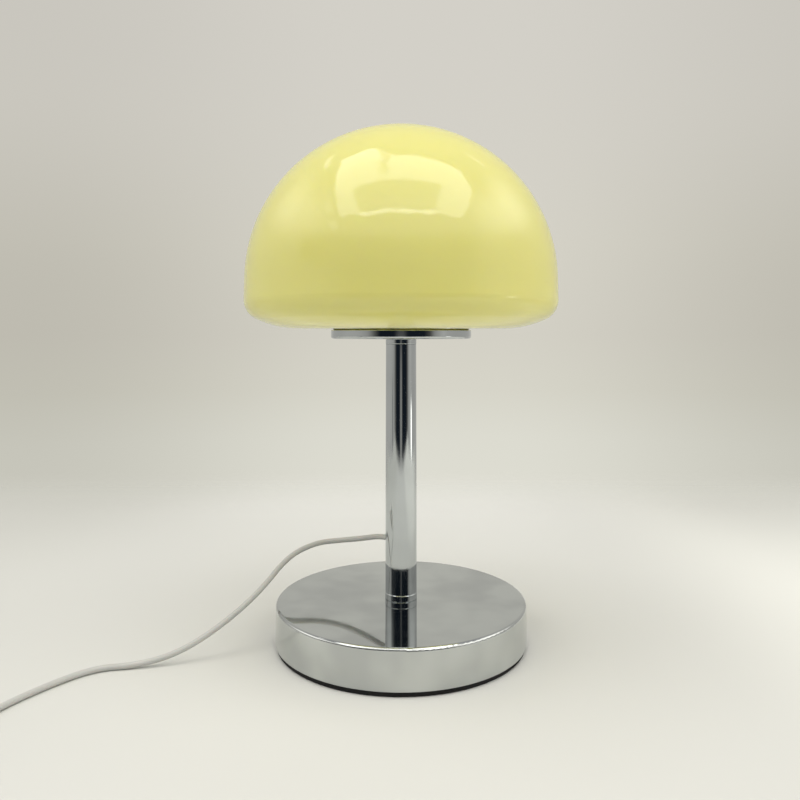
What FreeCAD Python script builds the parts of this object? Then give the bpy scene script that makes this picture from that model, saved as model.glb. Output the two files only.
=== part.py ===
import FreeCAD, Part
import math
import os

import Sketcher

# Mushroom table lamp: an opal glass shade stands in a shallow dish on a straight column with a low
# round base.  Millimetres, +Z up, the origin is the middle of the foot on the table.  A thin cord
# leaves the column low at the back left, with an in-line rocker switch, a wound coil and a plug.

SIZES = {
    # overall sizes
    "lamp_height": 290.0,
    "shade_diameter": 180.0,
    "base_diameter": 138.0,
    # glass shade
    "glass_wall": 3.0,
    "side_height": 12.6,
    "corner_radius": 12.0,
    "corner_turn": 64.0,
    "underside_radius": 56.0,
    "neck_root_radius": 2.5,
    "neck_fold_radius": 0.8,
    "neck_clearance": 0.5,
    "seat_gap": 0.15,
    # dish under the shade
    "dish_diameter": 81.0,
    "dish_height": 5.0,
    "dish_wall": 1.2,
    "dish_floor": 1.5,
    "dish_edge_radius": 1.5,
    "rim_radius": 0.4,
    "rim_gap": 0.5,
    "seat_ring_height": 1.6,
    "seat_ring_width": 4.6,
    # column and its ferrules
    "tube_diameter": 17.6,
    "tube_wall": 1.2,
    "flange_proud": 0.1,
    "flange_bevel": 0.3,
    "upper_flange": 3.0,
    "lower_flange": 3.5,
    "upper_plug": 10.0,
    "lower_plug": 12.0,
    # base
    "pad_height": 2.4,
    "pad_inset": 1.0,
    "pad_edge_radius": 0.5,
    "base_height": 19.6,
    "shell_wall": 1.5,
    "base_edge_radius": 1.3,
    "weight_clearance": 1.0,
    "weight_rim": 8.5,
    "weight_web": 9.8,
    "weight_hub_radius": 20.0,
    "weight_fillet": 1.5,
    "weight_bevel": 1.5,
    "counterbore_radius": 12.0,
    "clamp_web": 7.5,
    # M8 base bolt and its washers
    "bolt_radius": 4.0,
    "bolt_reach": 9.5,
    "bolt_head_flats": 13.0,
    "bolt_head_height": 5.3,
    "bolt_clearance": 0.3,
    "flat_washer_radius": 8.0,
    "flat_washer_height": 1.6,
    "spring_washer_radius": 6.6,
    "spring_washer_height": 2.0,
    "spring_washer_turn": 352.0,
    # M10 hollow nipple, washer and nut
    "nipple_radius": 5.0,
    "nipple_bore": 3.5,
    "nipple_depth": 9.0,
    "nipple_bevel": 0.5,
    "dish_washer_radius": 9.5,
    "dish_washer_height": 1.2,
    "nut_flats": 14.0,
    "nut_height": 3.0,
    "thread_clearance": 0.02,
    "washer_clearance": 0.15,
    # light source
    "sink_radius": 23.0,
    "sink_hub_radius": 9.0,
    "sink_hub_height": 2.5,
    "sink_disc": 5.0,
    "sink_groove_width": 0.9,
    "sink_groove_depth": 2.0,
    "sink_web": 1.0,
    "sink_web_gap": 0.5,
    "board_radius": 21.5,
    "board_height": 1.6,
    "board_hole": 3.3,
    "emitter_ring": 12.5,
    "emitter_long": 3.5,
    "emitter_wide": 2.8,
    "emitter_high": 0.8,
    "screw_ring": 18.2,
    "board_screw_radius": 1.48,
    "board_screw_head": 2.7,
    "board_screw_head_height": 1.8,
    "board_screw_depth": 4.0,
    "board_screw_room": 0.4,
    "diffuser_wall": 1.4,
    "diffuser_fit": 0.05,
    "diffuser_lift": 0.6,
    "diffuser_skirt": 10.0,
    "diffuser_rise": 8.0,
    # cord and its bush in the column
    "cord_radius": 1.5,
    "exit_height": 52.0,
    "exit_turn": 132.0,
    "bush_neck": 2.5,
    "bush_flange": 3.3,
    "bush_flange_height": 0.8,
    "bush_fit": 0.02,
    "inner_cord_offset": 1.5,
    # in-line switch, along X
    "switch_length": 42.0,
    "switch_width": 18.0,
    "switch_height": 12.0,
    "switch_split": 5.5,
    "switch_wall": 1.5,
    "switch_corner": 6.0,
    "sleeve_length": 10.0,
    "sleeve_neck": 2.2,
    "sleeve_root": 2.9,
    "sleeve_tip": 2.1,
    "sleeve_flange": 3.2,
    "sleeve_flange_height": 1.4,
    "sleeve_fit": 0.05,
    "sleeve_gap": 0.1,
    "rocker_length": 13.2,
    "rocker_width": 7.6,
    "rocker_above": 2.9,
    "rocker_below": 1.5,
    "rocker_dip": 0.9,
    "rocker_pivot_height": 9.4,
    "rocker_tilt": 10.0,
    "rocker_side_gap": 0.4,
    "rocker_end_gap": 0.95,
    "trunnion_radius": 1.0,
    "trunnion_reach": 1.3,
    "trunnion_fit": 0.05,
    "lug_length": 5.0,
    "lug_width": 1.8,
    "lug_drop": 2.2,
    "window_radius": 0.6,
    "switch_boss": 2.4,
    "switch_boss_x": 13.0,
    "switch_boss_y": 4.9,
    "switch_screw": 1.0,
    "switch_screw_head": 1.9,
    "switch_screw_sink": 1.3,
    "switch_screw_recess": 0.3,
    "switch_screw_length": 7.9,
    "switch_screw_gap": 0.1,
    "switch_screw_room": 0.3,
    "contact_width": 3.0,
    "contact_sheet": 0.6,
    "contact_foot": 4.0,
    "contact_rise": 4.4,
    "contact_x": 6.8,
    # plug of the USB-A type, along X before it is turned
    "plug_length": 24.0,
    "plug_width": 15.6,
    "plug_height": 8.0,
    "plug_corner": 2.0,
    "boot_length": 10.0,
    "boot_root": 3.1,
    "boot_tip": 2.2,
    "boot_slot": 0.9,
    "boot_slot_depth": 0.5,
    "boot_root_overlap": 0.5,
    "usb_width": 12.0,
    "usb_height": 4.5,
    "usb_sheet": 0.3,
    "usb_corner": 0.6,
    "usb_window": 2.3,
    "usb_window_from_grip": 4.4,
    "usb_window_from_middle": 1.1,
    "usb_reach": 11.7,
    "usb_depth": 7.0,
    "usb_fit": 0.05,
    "tongue_width": 11.0,
    "tongue_height": 1.84,
    "tongue_length": 8.4,
    "insulator_block": 6.0,
    "insulator_setback": 0.5,
    "tongue_root": 0.5,
    "usb_contact_width": 1.0,
    "usb_contact_sheet": 0.25,
    "usb_contact_length": 6.5,
    "usb_contact_pitch": 2.25,
    "usb_contact_gap": 0.1,
}

# Where the pieces on the cord lie on the table, and the coil of the put-away length.
SWITCH_PLACE = (-242.0, -118.0)
PLUG_PLACE = (-292.0, -36.0)
COIL_ENTRY = (-297.5, -78.0)
COIL_TURNS = 9
COIL_GAP = 0.55
TABLE_CLEARANCE = 0.05
EMITTER_COUNT = 12
BOARD_SCREW_COUNT = 3

# How far a cutting shape starts outside the piece that it cuts.
PAST = 1.0

doc = FreeCAD.newDocument("MushroomLamp")
sheet = doc.addObject("Spreadsheet::Sheet", "Sizes")
for row, (alias, value) in enumerate(SIZES.items(), start=1):
    sheet.set(f"A{row}", alias)
    sheet.set(f"B{row}", str(value))
    sheet.setAlias(f"B{row}", alias)
doc.recompute()


class Size:
    """A length that knows its number and the sheet expression that gives it."""

    def __init__(self, value, text):
        self.value = float(value)
        self.text = text

    def __add__(self, other):
        other = as_size(other)
        return Size(self.value + other.value, f"({self.text} + {other.text})")

    def __sub__(self, other):
        other = as_size(other)
        return Size(self.value - other.value, f"({self.text} - {other.text})")

    def __mul__(self, other):
        other = as_size(other)
        return Size(self.value * other.value, f"({self.text} * {other.text})")

    def __truediv__(self, other):
        other = as_size(other)
        return Size(self.value / other.value, f"({self.text} / {other.text})")

    def __radd__(self, other):
        return as_size(other) + self

    def __rsub__(self, other):
        return as_size(other) - self

    def __rmul__(self, other):
        return as_size(other) * self

    def __neg__(self):
        return Size(-self.value, f"(0 - {self.text})")


def as_size(value):
    if isinstance(value, Size):
        return value
    return Size(value, repr(float(value)))


def size(alias):
    return Size(sheet.get(alias), f"Sizes.{alias}")


def sine(angle):
    return Size(math.sin(math.radians(angle.value)), f"sin({angle.text} * 1 deg)")


def cosine(angle):
    return Size(math.cos(math.radians(angle.value)), f"cos({angle.text} * 1 deg)")


def root(square):
    return Size(math.sqrt(square.value), f"sqrt({square.text})")


# ---------------------------------------------------------------- levels and radii shared by pieces

cord_r = size("cord_radius")
shade_r = size("shade_diameter") / 2
base_r = size("base_diameter") / 2
tube_r = size("tube_diameter") / 2
tube_in = tube_r - size("tube_wall")
flange_r = tube_r + size("flange_proud")
dish_r = size("dish_diameter") / 2
dish_in = dish_r - size("dish_wall")
nipple_r = size("nipple_radius")
thread_r = nipple_r + size("thread_clearance")

# the shade hangs down from the top of the lamp
dome_z = size("lamp_height") - shade_r
side_z = dome_z - size("side_height")
corner_gap = size("underside_radius") - size("corner_radius")
under_z = side_z - size("underside_radius") + corner_gap * sine(size("corner_turn"))
dish_top = under_z - size("rim_gap")
dish_bottom = dish_top - size("dish_height")
dish_floor_z = dish_bottom + size("dish_floor")
tube_top = dish_bottom - size("upper_flange")

# the foot stands up from the table
base_top = size("pad_height") + size("base_height")
weight_top = base_top - size("shell_wall")
clamp_z = weight_top - size("clamp_web")
tube_bottom = base_top + size("lower_flange")

# the light source is stacked on the dish
nut_z = dish_floor_z + size("dish_washer_height")
sink_z = nut_z + size("nut_height")
disc_z = sink_z + size("sink_hub_height")
board_z = disc_z + size("sink_disc")
board_top = board_z + size("board_height")


# ------------------------------------------------------------------------------- building functions

def plane(body, role):
    return next(item for item in body.Origin.OriginFeatures if item.Role == role)


def new_body(label):
    body = doc.addObject("PartDesign::Body", label)
    body.Label = label
    return body


def new_sketch(body, role, name):
    sketch = body.newObject("Sketcher::SketchObject", name)
    sketch.AttachmentSupport = [(plane(body, role), "")]
    sketch.MapMode = "FlatFace"
    return sketch


def pin(sketch, axis, geometry, end, coordinate):
    """Ties one coordinate of a sketch point to its expression."""
    if abs(coordinate.value) < 1e-9:
        line = -2 if axis == "X" else -1
        sketch.addConstraint(Sketcher.Constraint("PointOnObject", geometry, end, line))
        return
    kind = f"Distance{axis}"
    if coordinate.value > 0:
        rule = Sketcher.Constraint(kind, -1, 1, geometry, end, coordinate.value)
    else:
        rule = Sketcher.Constraint(kind, geometry, end, -1, 1, -coordinate.value)
        coordinate = -coordinate
    index = sketch.addConstraint(rule)
    sketch.setExpression(f"Constraints[{index}]", coordinate.text)


def bind_radius(sketch, geometry, radius):
    index = sketch.addConstraint(Sketcher.Constraint("Radius", geometry, radius.value))
    sketch.setExpression(f"Constraints[{index}]", radius.text)


def vector(point):
    return FreeCAD.Vector(point[0].value, point[1].value, 0)


def arc_to(end, radius, centre, ccw):
    """An outline step that reaches end along an arc."""
    return {"end": end, "radius": radius, "centre": centre, "ccw": ccw}


def line_to(x, y):
    return {"end": (as_size(x), as_size(y)), "radius": None}


def draw_outline(sketch, steps):
    """Draws a closed outline whose steps are line_to and arc_to, the last one ending at the first."""
    first = len(sketch.Geometry)
    starts = [steps[-1]["end"]] + [step["end"] for step in steps[:-1]]
    tails = []
    heads = []
    for start, step in zip(starts, steps):
        index = len(sketch.Geometry)
        if step["radius"] is None:
            sketch.addGeometry(Part.LineSegment(vector(start), vector(step["end"])), False)
            tails.append((index, 1))
            heads.append((index, 2))
            continue
        centre = vector(step["centre"])
        circle = Part.Circle(centre, FreeCAD.Vector(0, 0, 1), step["radius"].value)
        ray_start = vector(start) - centre
        ray_end = vector(step["end"]) - centre
        angles = [math.atan2(ray.y, ray.x) for ray in (ray_start, ray_end)]
        if not step["ccw"]:
            angles.reverse()
        if angles[1] < angles[0]:
            angles[1] += 2 * math.pi
        sketch.addGeometry(Part.ArcOfCircle(circle, angles[0], angles[1]), False)
        tails.append((index, 1 if step["ccw"] else 2))
        heads.append((index, 2 if step["ccw"] else 1))
    for step, tail, head in zip(steps, tails[1:] + tails[:1], heads):
        sketch.addConstraint(Sketcher.Constraint("Coincident", head[0], head[1], tail[0], tail[1]))
        pin(sketch, "X", head[0], head[1], step["end"][0])
        pin(sketch, "Y", head[0], head[1], step["end"][1])
    for offset, step in enumerate(steps):
        if step["radius"] is not None:
            bind_radius(sketch, first + offset, step["radius"])


def along(point, direction, distance):
    return (point[0] + direction[0] * distance, point[1] + direction[1] * distance)


def corner_steps(corners):
    """Turns corners (x, y) or (x, y, radius), square and parallel to the axes where rounded, to steps."""
    corners = [tuple(as_size(item) for item in corner) for corner in corners]
    steps = []
    for index, corner in enumerate(corners):
        if len(corner) == 2:
            steps.append(line_to(*corner))
            continue
        before = corners[index - 1]
        after = corners[(index + 1) % len(corners)]
        arrive = unit_step(before, corner)
        leave = unit_step(corner, after)
        radius = corner[2]
        start = along(corner, (-arrive[0], -arrive[1]), radius)
        end = along(corner, leave, radius)
        centre = along(start, leave, radius)
        turn = arrive[0] * leave[1] - arrive[1] * leave[0]
        steps.append(line_to(*start))
        steps.append(arc_to(end, radius, centre, turn > 0))
    return steps


def unit_step(start, end):
    """The direction from one corner to the next, along X or along Y."""
    dx = end[0].value - start[0].value
    dy = end[1].value - start[1].value
    if abs(dx) > abs(dy):
        return (math.copysign(1, dx), 0)
    return (0, math.copysign(1, dy))


def draw_circle(sketch, radius, x=0, y=0):
    x = as_size(x)
    y = as_size(y)
    centre = FreeCAD.Vector(x.value, y.value, 0)
    index = sketch.addGeometry(Part.Circle(centre, FreeCAD.Vector(0, 0, 1), radius.value), False)
    pin(sketch, "X", index, 3, x)
    pin(sketch, "Y", index, 3, y)
    bind_radius(sketch, index, radius)


def revolve(body, sketch, name, axis="V_Axis", angle=None):
    turned = body.newObject("PartDesign::Revolution", name)
    turned.Profile = sketch
    turned.ReferenceAxis = (sketch, [axis])
    turned.Angle = 360 if angle is None else angle.value
    if angle is not None:
        turned.setExpression("Angle", angle.text)
    body.Tip = turned
    return turned


def turned_piece(label, steps, angle=None):
    """A round piece: the outline in the XZ plane, turned about Z."""
    body = new_body(label)
    sketch = new_sketch(body, "XZ_Plane", f"{label}_outline")
    draw_outline(sketch, steps)
    revolve(body, sketch, f"{label}_turned", angle=angle)
    return body


def pad(body, sketch, name, length, reverse=False, midplane=False):
    feature = body.newObject("PartDesign::Pad", name)
    feature.Profile = sketch
    feature.Length = length.value
    feature.setExpression("Length", length.text)
    feature.Reversed = reverse
    feature.Midplane = midplane
    body.Tip = feature
    return feature


def pocket(body, sketch, name, length, reverse=False, midplane=False):
    """Cuts a pocket and makes sure that it took material away."""
    doc.recompute()
    before = body.Shape.Volume
    feature = body.newObject("PartDesign::Pocket", name)
    feature.Profile = sketch
    feature.Length = length.value
    feature.setExpression("Length", length.text)
    feature.Reversed = reverse
    feature.Midplane = midplane
    body.Tip = feature
    doc.recompute()
    if body.Shape.Volume >= before - 1e-6:
        raise RuntimeError(f"{name} cuts nothing")
    return feature


def lift_sketch(sketch, height):
    """Moves a sketch off its plane, along the plane's normal."""
    sketch.AttachmentOffset = FreeCAD.Placement(
        FreeCAD.Vector(0, 0, height.value), FreeCAD.Rotation()
    )
    sketch.setExpression("AttachmentOffset.Base.z", height.text)


def place(item, x=0, y=0, z=0, axis=(0, 0, 1), angle=0):
    """Places an object and ties its position to the sheet."""
    x = as_size(x)
    y = as_size(y)
    z = as_size(z)
    angle = as_size(angle)
    item.Placement = FreeCAD.Placement(
        FreeCAD.Vector(x.value, y.value, z.value),
        FreeCAD.Rotation(FreeCAD.Vector(*axis), angle.value),
    )
    for letter, coordinate in zip("xyz", (x, y, z)):
        if "Sizes." in coordinate.text:
            item.setExpression(f"Placement.Base.{letter}", coordinate.text)
    if "Sizes." in angle.text:
        item.setExpression("Placement.Rotation.Angle", angle.text)
    return item


def primitive(kind, name, **sizes):
    item = doc.addObject(f"Part::{kind}", name)
    for key, value in sizes.items():
        value = as_size(value)
        setattr(item, key, value.value)
        item.setExpression(key, value.text)
    return item


def joined(kind, label, base, tool):
    item = doc.addObject(f"Part::{kind}", label)
    item.Base = base
    item.Tool = tool
    item.Label = label
    return item


def compound(label, items):
    group = doc.addObject("Part::Compound", label)
    group.Links = items
    group.Label = label
    return group


def hexagon(flats):
    """The corners of a hexagon with two flats parallel to X."""
    reach = flats / root(as_size(3))
    half = flats / 2
    return [
        (reach, as_size(0)),
        (reach / 2, half),
        (-(reach / 2), half),
        (-reach, as_size(0)),
        (-(reach / 2), -half),
        (reach / 2, -half),
    ]


def hexagon_pad(body, name, flats, bottom, height):
    """A hexagonal block on a level above the foot."""
    sketch = new_sketch(body, "XY_Plane", f"{name}_flats")
    draw_outline(sketch, [line_to(*corner) for corner in hexagon(flats)])
    lift_sketch(sketch, bottom)
    pad(body, sketch, name, height)


def trim_corners(body, name, flats, face_z):
    """Turns the corners of a hexagon off at 30 degrees above its lower face."""
    outer = flats / root(as_size(3)) + PAST
    touch = flats / 2
    drop = (outer - touch) * math.tan(math.radians(30))
    edge = face_z + drop
    past = face_z - PAST
    sketch = new_sketch(body, "XZ_Plane", f"{name}_cone")
    corners = [(touch, face_z), (outer, edge), (outer, past), (touch, past)]
    draw_outline(sketch, [line_to(*corner) for corner in corners])
    doc.recompute()
    before = body.Shape.Volume
    cut = body.newObject("PartDesign::Groove", name)
    cut.Profile = sketch
    cut.ReferenceAxis = (sketch, ["V_Axis"])
    cut.Angle = 360
    body.Tip = cut
    doc.recompute()
    if body.Shape.Volume >= before - 1e-6:
        raise RuntimeError(f"{name} cuts nothing")


# --------------------------------------------------------------------------------------------- base

def foot_pad():
    outer = base_r - size("pad_inset")
    return turned_piece("foot_pad", corner_steps([
        (0, 0),
        (outer, 0, size("pad_edge_radius")),
        (outer, size("pad_height")),
        (0, size("pad_height")),
    ]))


def base_shell():
    inner = base_r - size("shell_wall")
    hole = size("bolt_radius") + size("bolt_clearance")
    edge = size("base_edge_radius")
    return turned_piece("base_shell", corner_steps([
        (inner, size("pad_height")),
        (base_r, size("pad_height"), size("rim_radius")),
        (base_r, base_top, edge),
        (hole, base_top),
        (hole, weight_top),
        (inner, weight_top, edge / 2),
    ]))


def base_weight():
    outer = base_r - size("shell_wall") - size("weight_clearance")
    rim = outer - size("weight_rim")
    web_z = weight_top - size("weight_web")
    hole = size("bolt_radius") + size("bolt_clearance")
    pad_z = size("pad_height")
    fillet = size("weight_fillet")
    bevel = size("weight_bevel")
    return turned_piece("base_weight", corner_steps([
        (size("counterbore_radius"), pad_z),
        (size("weight_hub_radius"), pad_z),
        (size("weight_hub_radius"), web_z, fillet),
        (rim, web_z, fillet),
        (rim, pad_z),
        (outer, pad_z),
        (outer, weight_top - bevel),
        (outer - bevel, weight_top),
        (hole, weight_top),
        (hole, clamp_z),
        (size("counterbore_radius"), clamp_z),
    ]))


def washer(label, inner, outer, bottom, height, angle=None):
    return turned_piece(label, corner_steps([
        (inner, bottom),
        (outer, bottom),
        (outer, bottom + height),
        (inner, bottom + height),
    ]), angle=angle)


def base_bolt_levels():
    washer_z = clamp_z - size("flat_washer_height")
    spring_z = washer_z - size("spring_washer_height")
    head_z = spring_z - size("bolt_head_height")
    return washer_z, spring_z, head_z


def base_bolt():
    spring_z, head_z = base_bolt_levels()[1:]
    body = new_body("base_bolt")
    hexagon_pad(body, "bolt_head", size("bolt_head_flats"), head_z, size("bolt_head_height"))
    trim_corners(body, "bolt_head_trim", size("bolt_head_flats"), head_z)
    sketch = new_sketch(body, "XY_Plane", "bolt_shank_circle")
    draw_circle(sketch, size("bolt_radius"))
    lift_sketch(sketch, spring_z)
    pad(body, sketch, "bolt_shank", tube_bottom + size("bolt_reach") - spring_z)
    return body


# ------------------------------------------------------------------------------------------- column

def lower_ferrule():
    bore = size("bolt_radius") + size("thread_clearance")
    plug = tube_in - size("thread_clearance")
    bevel = size("flange_bevel")
    return turned_piece("lower_ferrule", corner_steps([
        (bore, base_top),
        (flange_r - bevel, base_top),
        (flange_r, base_top + bevel),
        (flange_r, tube_bottom - bevel),
        (flange_r - bevel, tube_bottom),
        (plug, tube_bottom),
        (plug, tube_bottom + size("lower_plug")),
        (bore, tube_bottom + size("lower_plug")),
    ]))


def upper_ferrule():
    plug = tube_in - size("thread_clearance")
    bevel = size("flange_bevel")
    return turned_piece("upper_ferrule", corner_steps([
        (thread_r, tube_top - size("upper_plug")),
        (plug, tube_top - size("upper_plug")),
        (plug, tube_top),
        (flange_r - bevel, tube_top),
        (flange_r, tube_top + bevel),
        (flange_r, dish_bottom - bevel),
        (flange_r - bevel, dish_bottom),
        (thread_r, dish_bottom),
    ]))


def column_tube():
    """The tube, built with its cord hole towards +X and then turned to where the cord comes out."""
    body = turned_piece("column_tube", corner_steps([
        (tube_in, tube_bottom),
        (tube_r, tube_bottom),
        (tube_r, tube_top),
        (tube_in, tube_top),
    ]))
    sketch = new_sketch(body, "YZ_Plane", "cord_hole_circle")
    draw_circle(sketch, size("bush_neck"), 0, size("exit_height"))
    pocket(body, sketch, "cord_hole", tube_r + PAST, reverse=True)
    return place(body, angle=size("exit_turn"))


def ring_solid(name, inner, outer, bottom, height):
    """A plain ring about Z, for the curved faces that hug the tube."""
    tube = primitive("Cylinder", f"{name}_outer", Radius=outer, Height=height)
    bore = primitive("Cylinder", f"{name}_inner", Radius=inner, Height=height)
    place(tube, z=bottom)
    place(bore, z=bottom)
    return joined("Cut", name, tube, bore)


def rod_along_x(name, radius, reach):
    rod = primitive("Cylinder", name, Radius=radius, Height=reach)
    return place(rod, z=size("exit_height"), axis=(0, 1, 0), angle=90)


def cord_grommet():
    """The bush in the column's side hole: its two flanges follow the tube's curve."""
    flange = size("bush_flange_height")
    low = size("exit_height") - size("bush_flange") - PAST
    high = (size("bush_flange") + PAST) * 2
    reach = tube_r + flange + PAST
    around = ring_solid("bush_space", tube_in - flange, tube_r + flange, low, high)
    wall = ring_solid("bush_wall", tube_in, tube_r, low, high)
    neck = rod_along_x("bush_neck_rod", size("bush_neck"), reach)
    blank = joined("Common", "bush_blank", around, rod_along_x("bush_rod", size("bush_flange"), reach))
    groove = joined("Cut", "bush_groove", wall, neck)
    grooved = joined("Cut", "bush_grooved", blank, groove)
    bore = rod_along_x("bush_bore", cord_r + size("bush_fit"), reach)
    grommet = joined("Cut", "cord_grommet", grooved, bore)
    return place(grommet, angle=size("exit_turn"))


# --------------------------------------------------------------------------- dish and light source

def shade_dish():
    hole = nipple_r + size("washer_clearance")
    edge = size("dish_edge_radius")
    return turned_piece("shade_dish", corner_steps([
        (hole, dish_bottom),
        (dish_r, dish_bottom, edge),
        (dish_r, dish_top, size("rim_radius")),
        (dish_in, dish_top),
        (dish_in, dish_floor_z + edge / 3),
        (dish_in - edge / 3, dish_floor_z),
        (hole, dish_floor_z),
    ]))


def seat_ring_radii():
    outer = dish_in - size("neck_clearance")
    return outer - size("seat_ring_width"), outer


def shade_seat_ring():
    inner, outer = seat_ring_radii()
    height = size("seat_ring_height")
    return washer("shade_seat_ring", inner, outer, dish_floor_z, height)


def threaded_nipple():
    bottom = tube_top - size("nipple_depth")
    top = board_z - size("sink_web") - size("sink_web_gap")
    bevel = size("nipple_bevel")
    return turned_piece("threaded_nipple", corner_steps([
        (size("nipple_bore"), bottom),
        (nipple_r - bevel, bottom),
        (nipple_r, bottom + bevel),
        (nipple_r, top - bevel),
        (nipple_r - bevel, top),
        (size("nipple_bore"), top),
    ]))


def dish_nut():
    body = new_body("dish_nut")
    hexagon_pad(body, "nut_block", size("nut_flats"), nut_z, size("nut_height"))
    trim_corners(body, "nut_trim", size("nut_flats"), nut_z)
    sketch = new_sketch(body, "XY_Plane", "nut_bore_circle")
    draw_circle(sketch, thread_r)
    lift_sketch(sketch, nut_z - PAST)
    pocket(body, sketch, "nut_bore", size("nut_height") + PAST * 2, reverse=True)
    return body


def screw_places():
    """The board screws, evenly round the board."""
    ring = size("screw_ring")
    for index in range(BOARD_SCREW_COUNT):
        turn = as_size(90 + 360 * index / BOARD_SCREW_COUNT)
        yield ring * cosine(turn), ring * sine(turn)


def led_heat_sink():
    """A turned aluminium disc with two cooling grooves, screwed on the nipple."""
    outer = size("sink_radius")
    deep = outer - size("sink_groove_depth")
    fin = (size("sink_disc") - size("sink_groove_width") * 2) / 3
    corners = [
        (thread_r, sink_z),
        (size("sink_hub_radius"), sink_z, size("rim_radius")),
        (size("sink_hub_radius"), disc_z),
        (outer, disc_z),
    ]
    level = disc_z + fin
    for _groove in range(2):
        corners += [
            (outer, level),
            (deep, level),
            (deep, level + size("sink_groove_width")),
            (outer, level + size("sink_groove_width")),
        ]
        level = level + size("sink_groove_width") + fin
    corners += [
        (outer, board_z),
        (size("nipple_bore"), board_z),
        (size("nipple_bore"), board_z - size("sink_web")),
        (thread_r, board_z - size("sink_web")),
    ]
    body = turned_piece("led_heat_sink", corner_steps(corners))
    sketch = new_sketch(body, "XY_Plane", "sink_screw_circles")
    for x, y in screw_places():
        draw_circle(sketch, size("board_screw_radius") + size("thread_clearance"), x, y)
    lift_sketch(sketch, board_z)
    pocket(body, sketch, "sink_screw_holes", size("board_screw_depth") + size("board_screw_room"))
    return body


def led_board():
    body = turned_piece("led_board", corner_steps([
        (size("board_hole"), board_z),
        (size("board_radius"), board_z),
        (size("board_radius"), board_top),
        (size("board_hole"), board_top),
    ]))
    sketch = new_sketch(body, "XY_Plane", "board_screw_circles")
    for x, y in screw_places():
        draw_circle(sketch, size("board_screw_radius") + size("washer_clearance"), x, y)
    lift_sketch(sketch, board_top + PAST)
    pocket(body, sketch, "board_screw_holes", size("board_height") + PAST * 2)
    return body


def led_emitters():
    """Square light emitters in a ring on the board."""
    chips = []
    for index in range(EMITTER_COUNT):
        name = f"emitter_{index + 1}"
        chip = primitive(
            "Box", name,
            Length=size("emitter_long"), Width=size("emitter_wide"), Height=size("emitter_high"),
        )
        turn = 360 * index / EMITTER_COUNT
        angle = as_size(turn)
        back = size("emitter_ring") - size("emitter_long") / 2
        side = size("emitter_wide") / 2
        x = back * cosine(angle) + side * sine(angle)
        y = back * sine(angle) - side * cosine(angle)
        chips.append(place(chip, x, y, board_top, angle=turn))
    return compound("led_emitters", chips)


def led_screws():
    screws = []
    depth = size("board_screw_depth") + size("board_height")
    for index, (x, y) in enumerate(screw_places(), start=1):
        shank = primitive(
            "Cylinder", f"board_shank_{index}", Radius=size("board_screw_radius"), Height=depth
        )
        head = primitive(
            "Cylinder", f"board_head_{index}",
            Radius=size("board_screw_head"), Height=size("board_screw_head_height"),
        )
        place(shank, x, y, board_top - depth)
        place(head, x, y, board_top)
        screws.append(joined("Fuse", f"board_screw_{index}", shank, head))
    return compound("led_screws", screws)


def led_diffuser():
    """A domed opal cap that snaps over the heat sink."""
    inner = size("sink_radius") + size("diffuser_fit")
    wall = size("diffuser_wall")
    outer = inner + wall
    bottom = disc_z + size("diffuser_lift")
    brow = bottom + size("diffuser_skirt")
    rise = size("diffuser_rise")
    radius = (outer * outer + rise * rise) / (rise * 2)
    centre_z = brow + rise - radius
    zero = as_size(0)
    inner_radius = radius - wall
    inner_brow = centre_z + root(inner_radius * inner_radius - inner * inner)
    return turned_piece("led_diffuser", [
        line_to(inner, bottom),
        line_to(outer, bottom),
        line_to(outer, brow),
        arc_to((zero, brow + rise), radius, (zero, centre_z), True),
        line_to(0, brow + rise - wall),
        arc_to((inner, inner_brow), inner_radius, (zero, centre_z), False),
    ])


# -------------------------------------------------------------------------------------- glass shade

def shade_arcs(inset):
    """The centres and tangent points of the shade's wall, at a depth inside its outer face."""
    turn = size("corner_turn")
    corner = size("corner_radius") - inset
    under = size("underside_radius") - inset
    corner_centre = (shade_r - size("corner_radius"), side_z)
    under_centre = (
        corner_centre[0] - corner_gap * cosine(turn),
        corner_centre[1] + corner_gap * sine(turn),
    )
    meet = (
        corner_centre[0] + corner * cosine(turn),
        corner_centre[1] - corner * sine(turn),
    )
    low = (under_centre[0], under_centre[1] - under)
    return corner, under, corner_centre, under_centre, meet, low


def glass_shade():
    """The blown mushroom: dome, upright side, rolled corner, shallow underside and neck in one wall."""
    wall = size("glass_wall")
    zero = as_size(0)
    neck = dish_in - size("neck_clearance")
    bore = neck - wall
    neck_z = dish_floor_z + size("seat_ring_height") + size("seat_gap")
    fillet = size("neck_root_radius")
    corner, under, corner_centre, under_centre, meet, low = shade_arcs(zero)
    in_corner, in_under, _same_centre, _same_under, in_meet, in_low = shade_arcs(wall)
    small = size("neck_fold_radius")
    shoulder = low[1]
    in_shoulder = in_low[1]
    dome = (zero, dome_z)
    return turned_piece("glass_shade", [
        line_to(0, size("lamp_height") - wall),
        arc_to((shade_r - wall, dome_z), shade_r - wall, dome, False),
        line_to(shade_r - wall, side_z),
        arc_to(in_meet, in_corner, corner_centre, False),
        arc_to(in_low, in_under, under_centre, False),
        line_to(bore + fillet, in_shoulder),
        arc_to((bore, in_shoulder - fillet), fillet, (bore + fillet, in_shoulder - fillet), True),
        line_to(bore, neck_z),
        line_to(neck, neck_z),
        line_to(neck, shoulder - small),
        arc_to((neck + small, shoulder), small, (neck + small, shoulder - small), False),
        line_to(*low),
        arc_to(meet, under, under_centre, True),
        arc_to((shade_r, side_z), corner, corner_centre, True),
        line_to(shade_r, dome_z),
        arc_to((zero, size("lamp_height")), shade_r, dome, True),
    ])


# --------------------------------------------------------------------------------------------- cord

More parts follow.
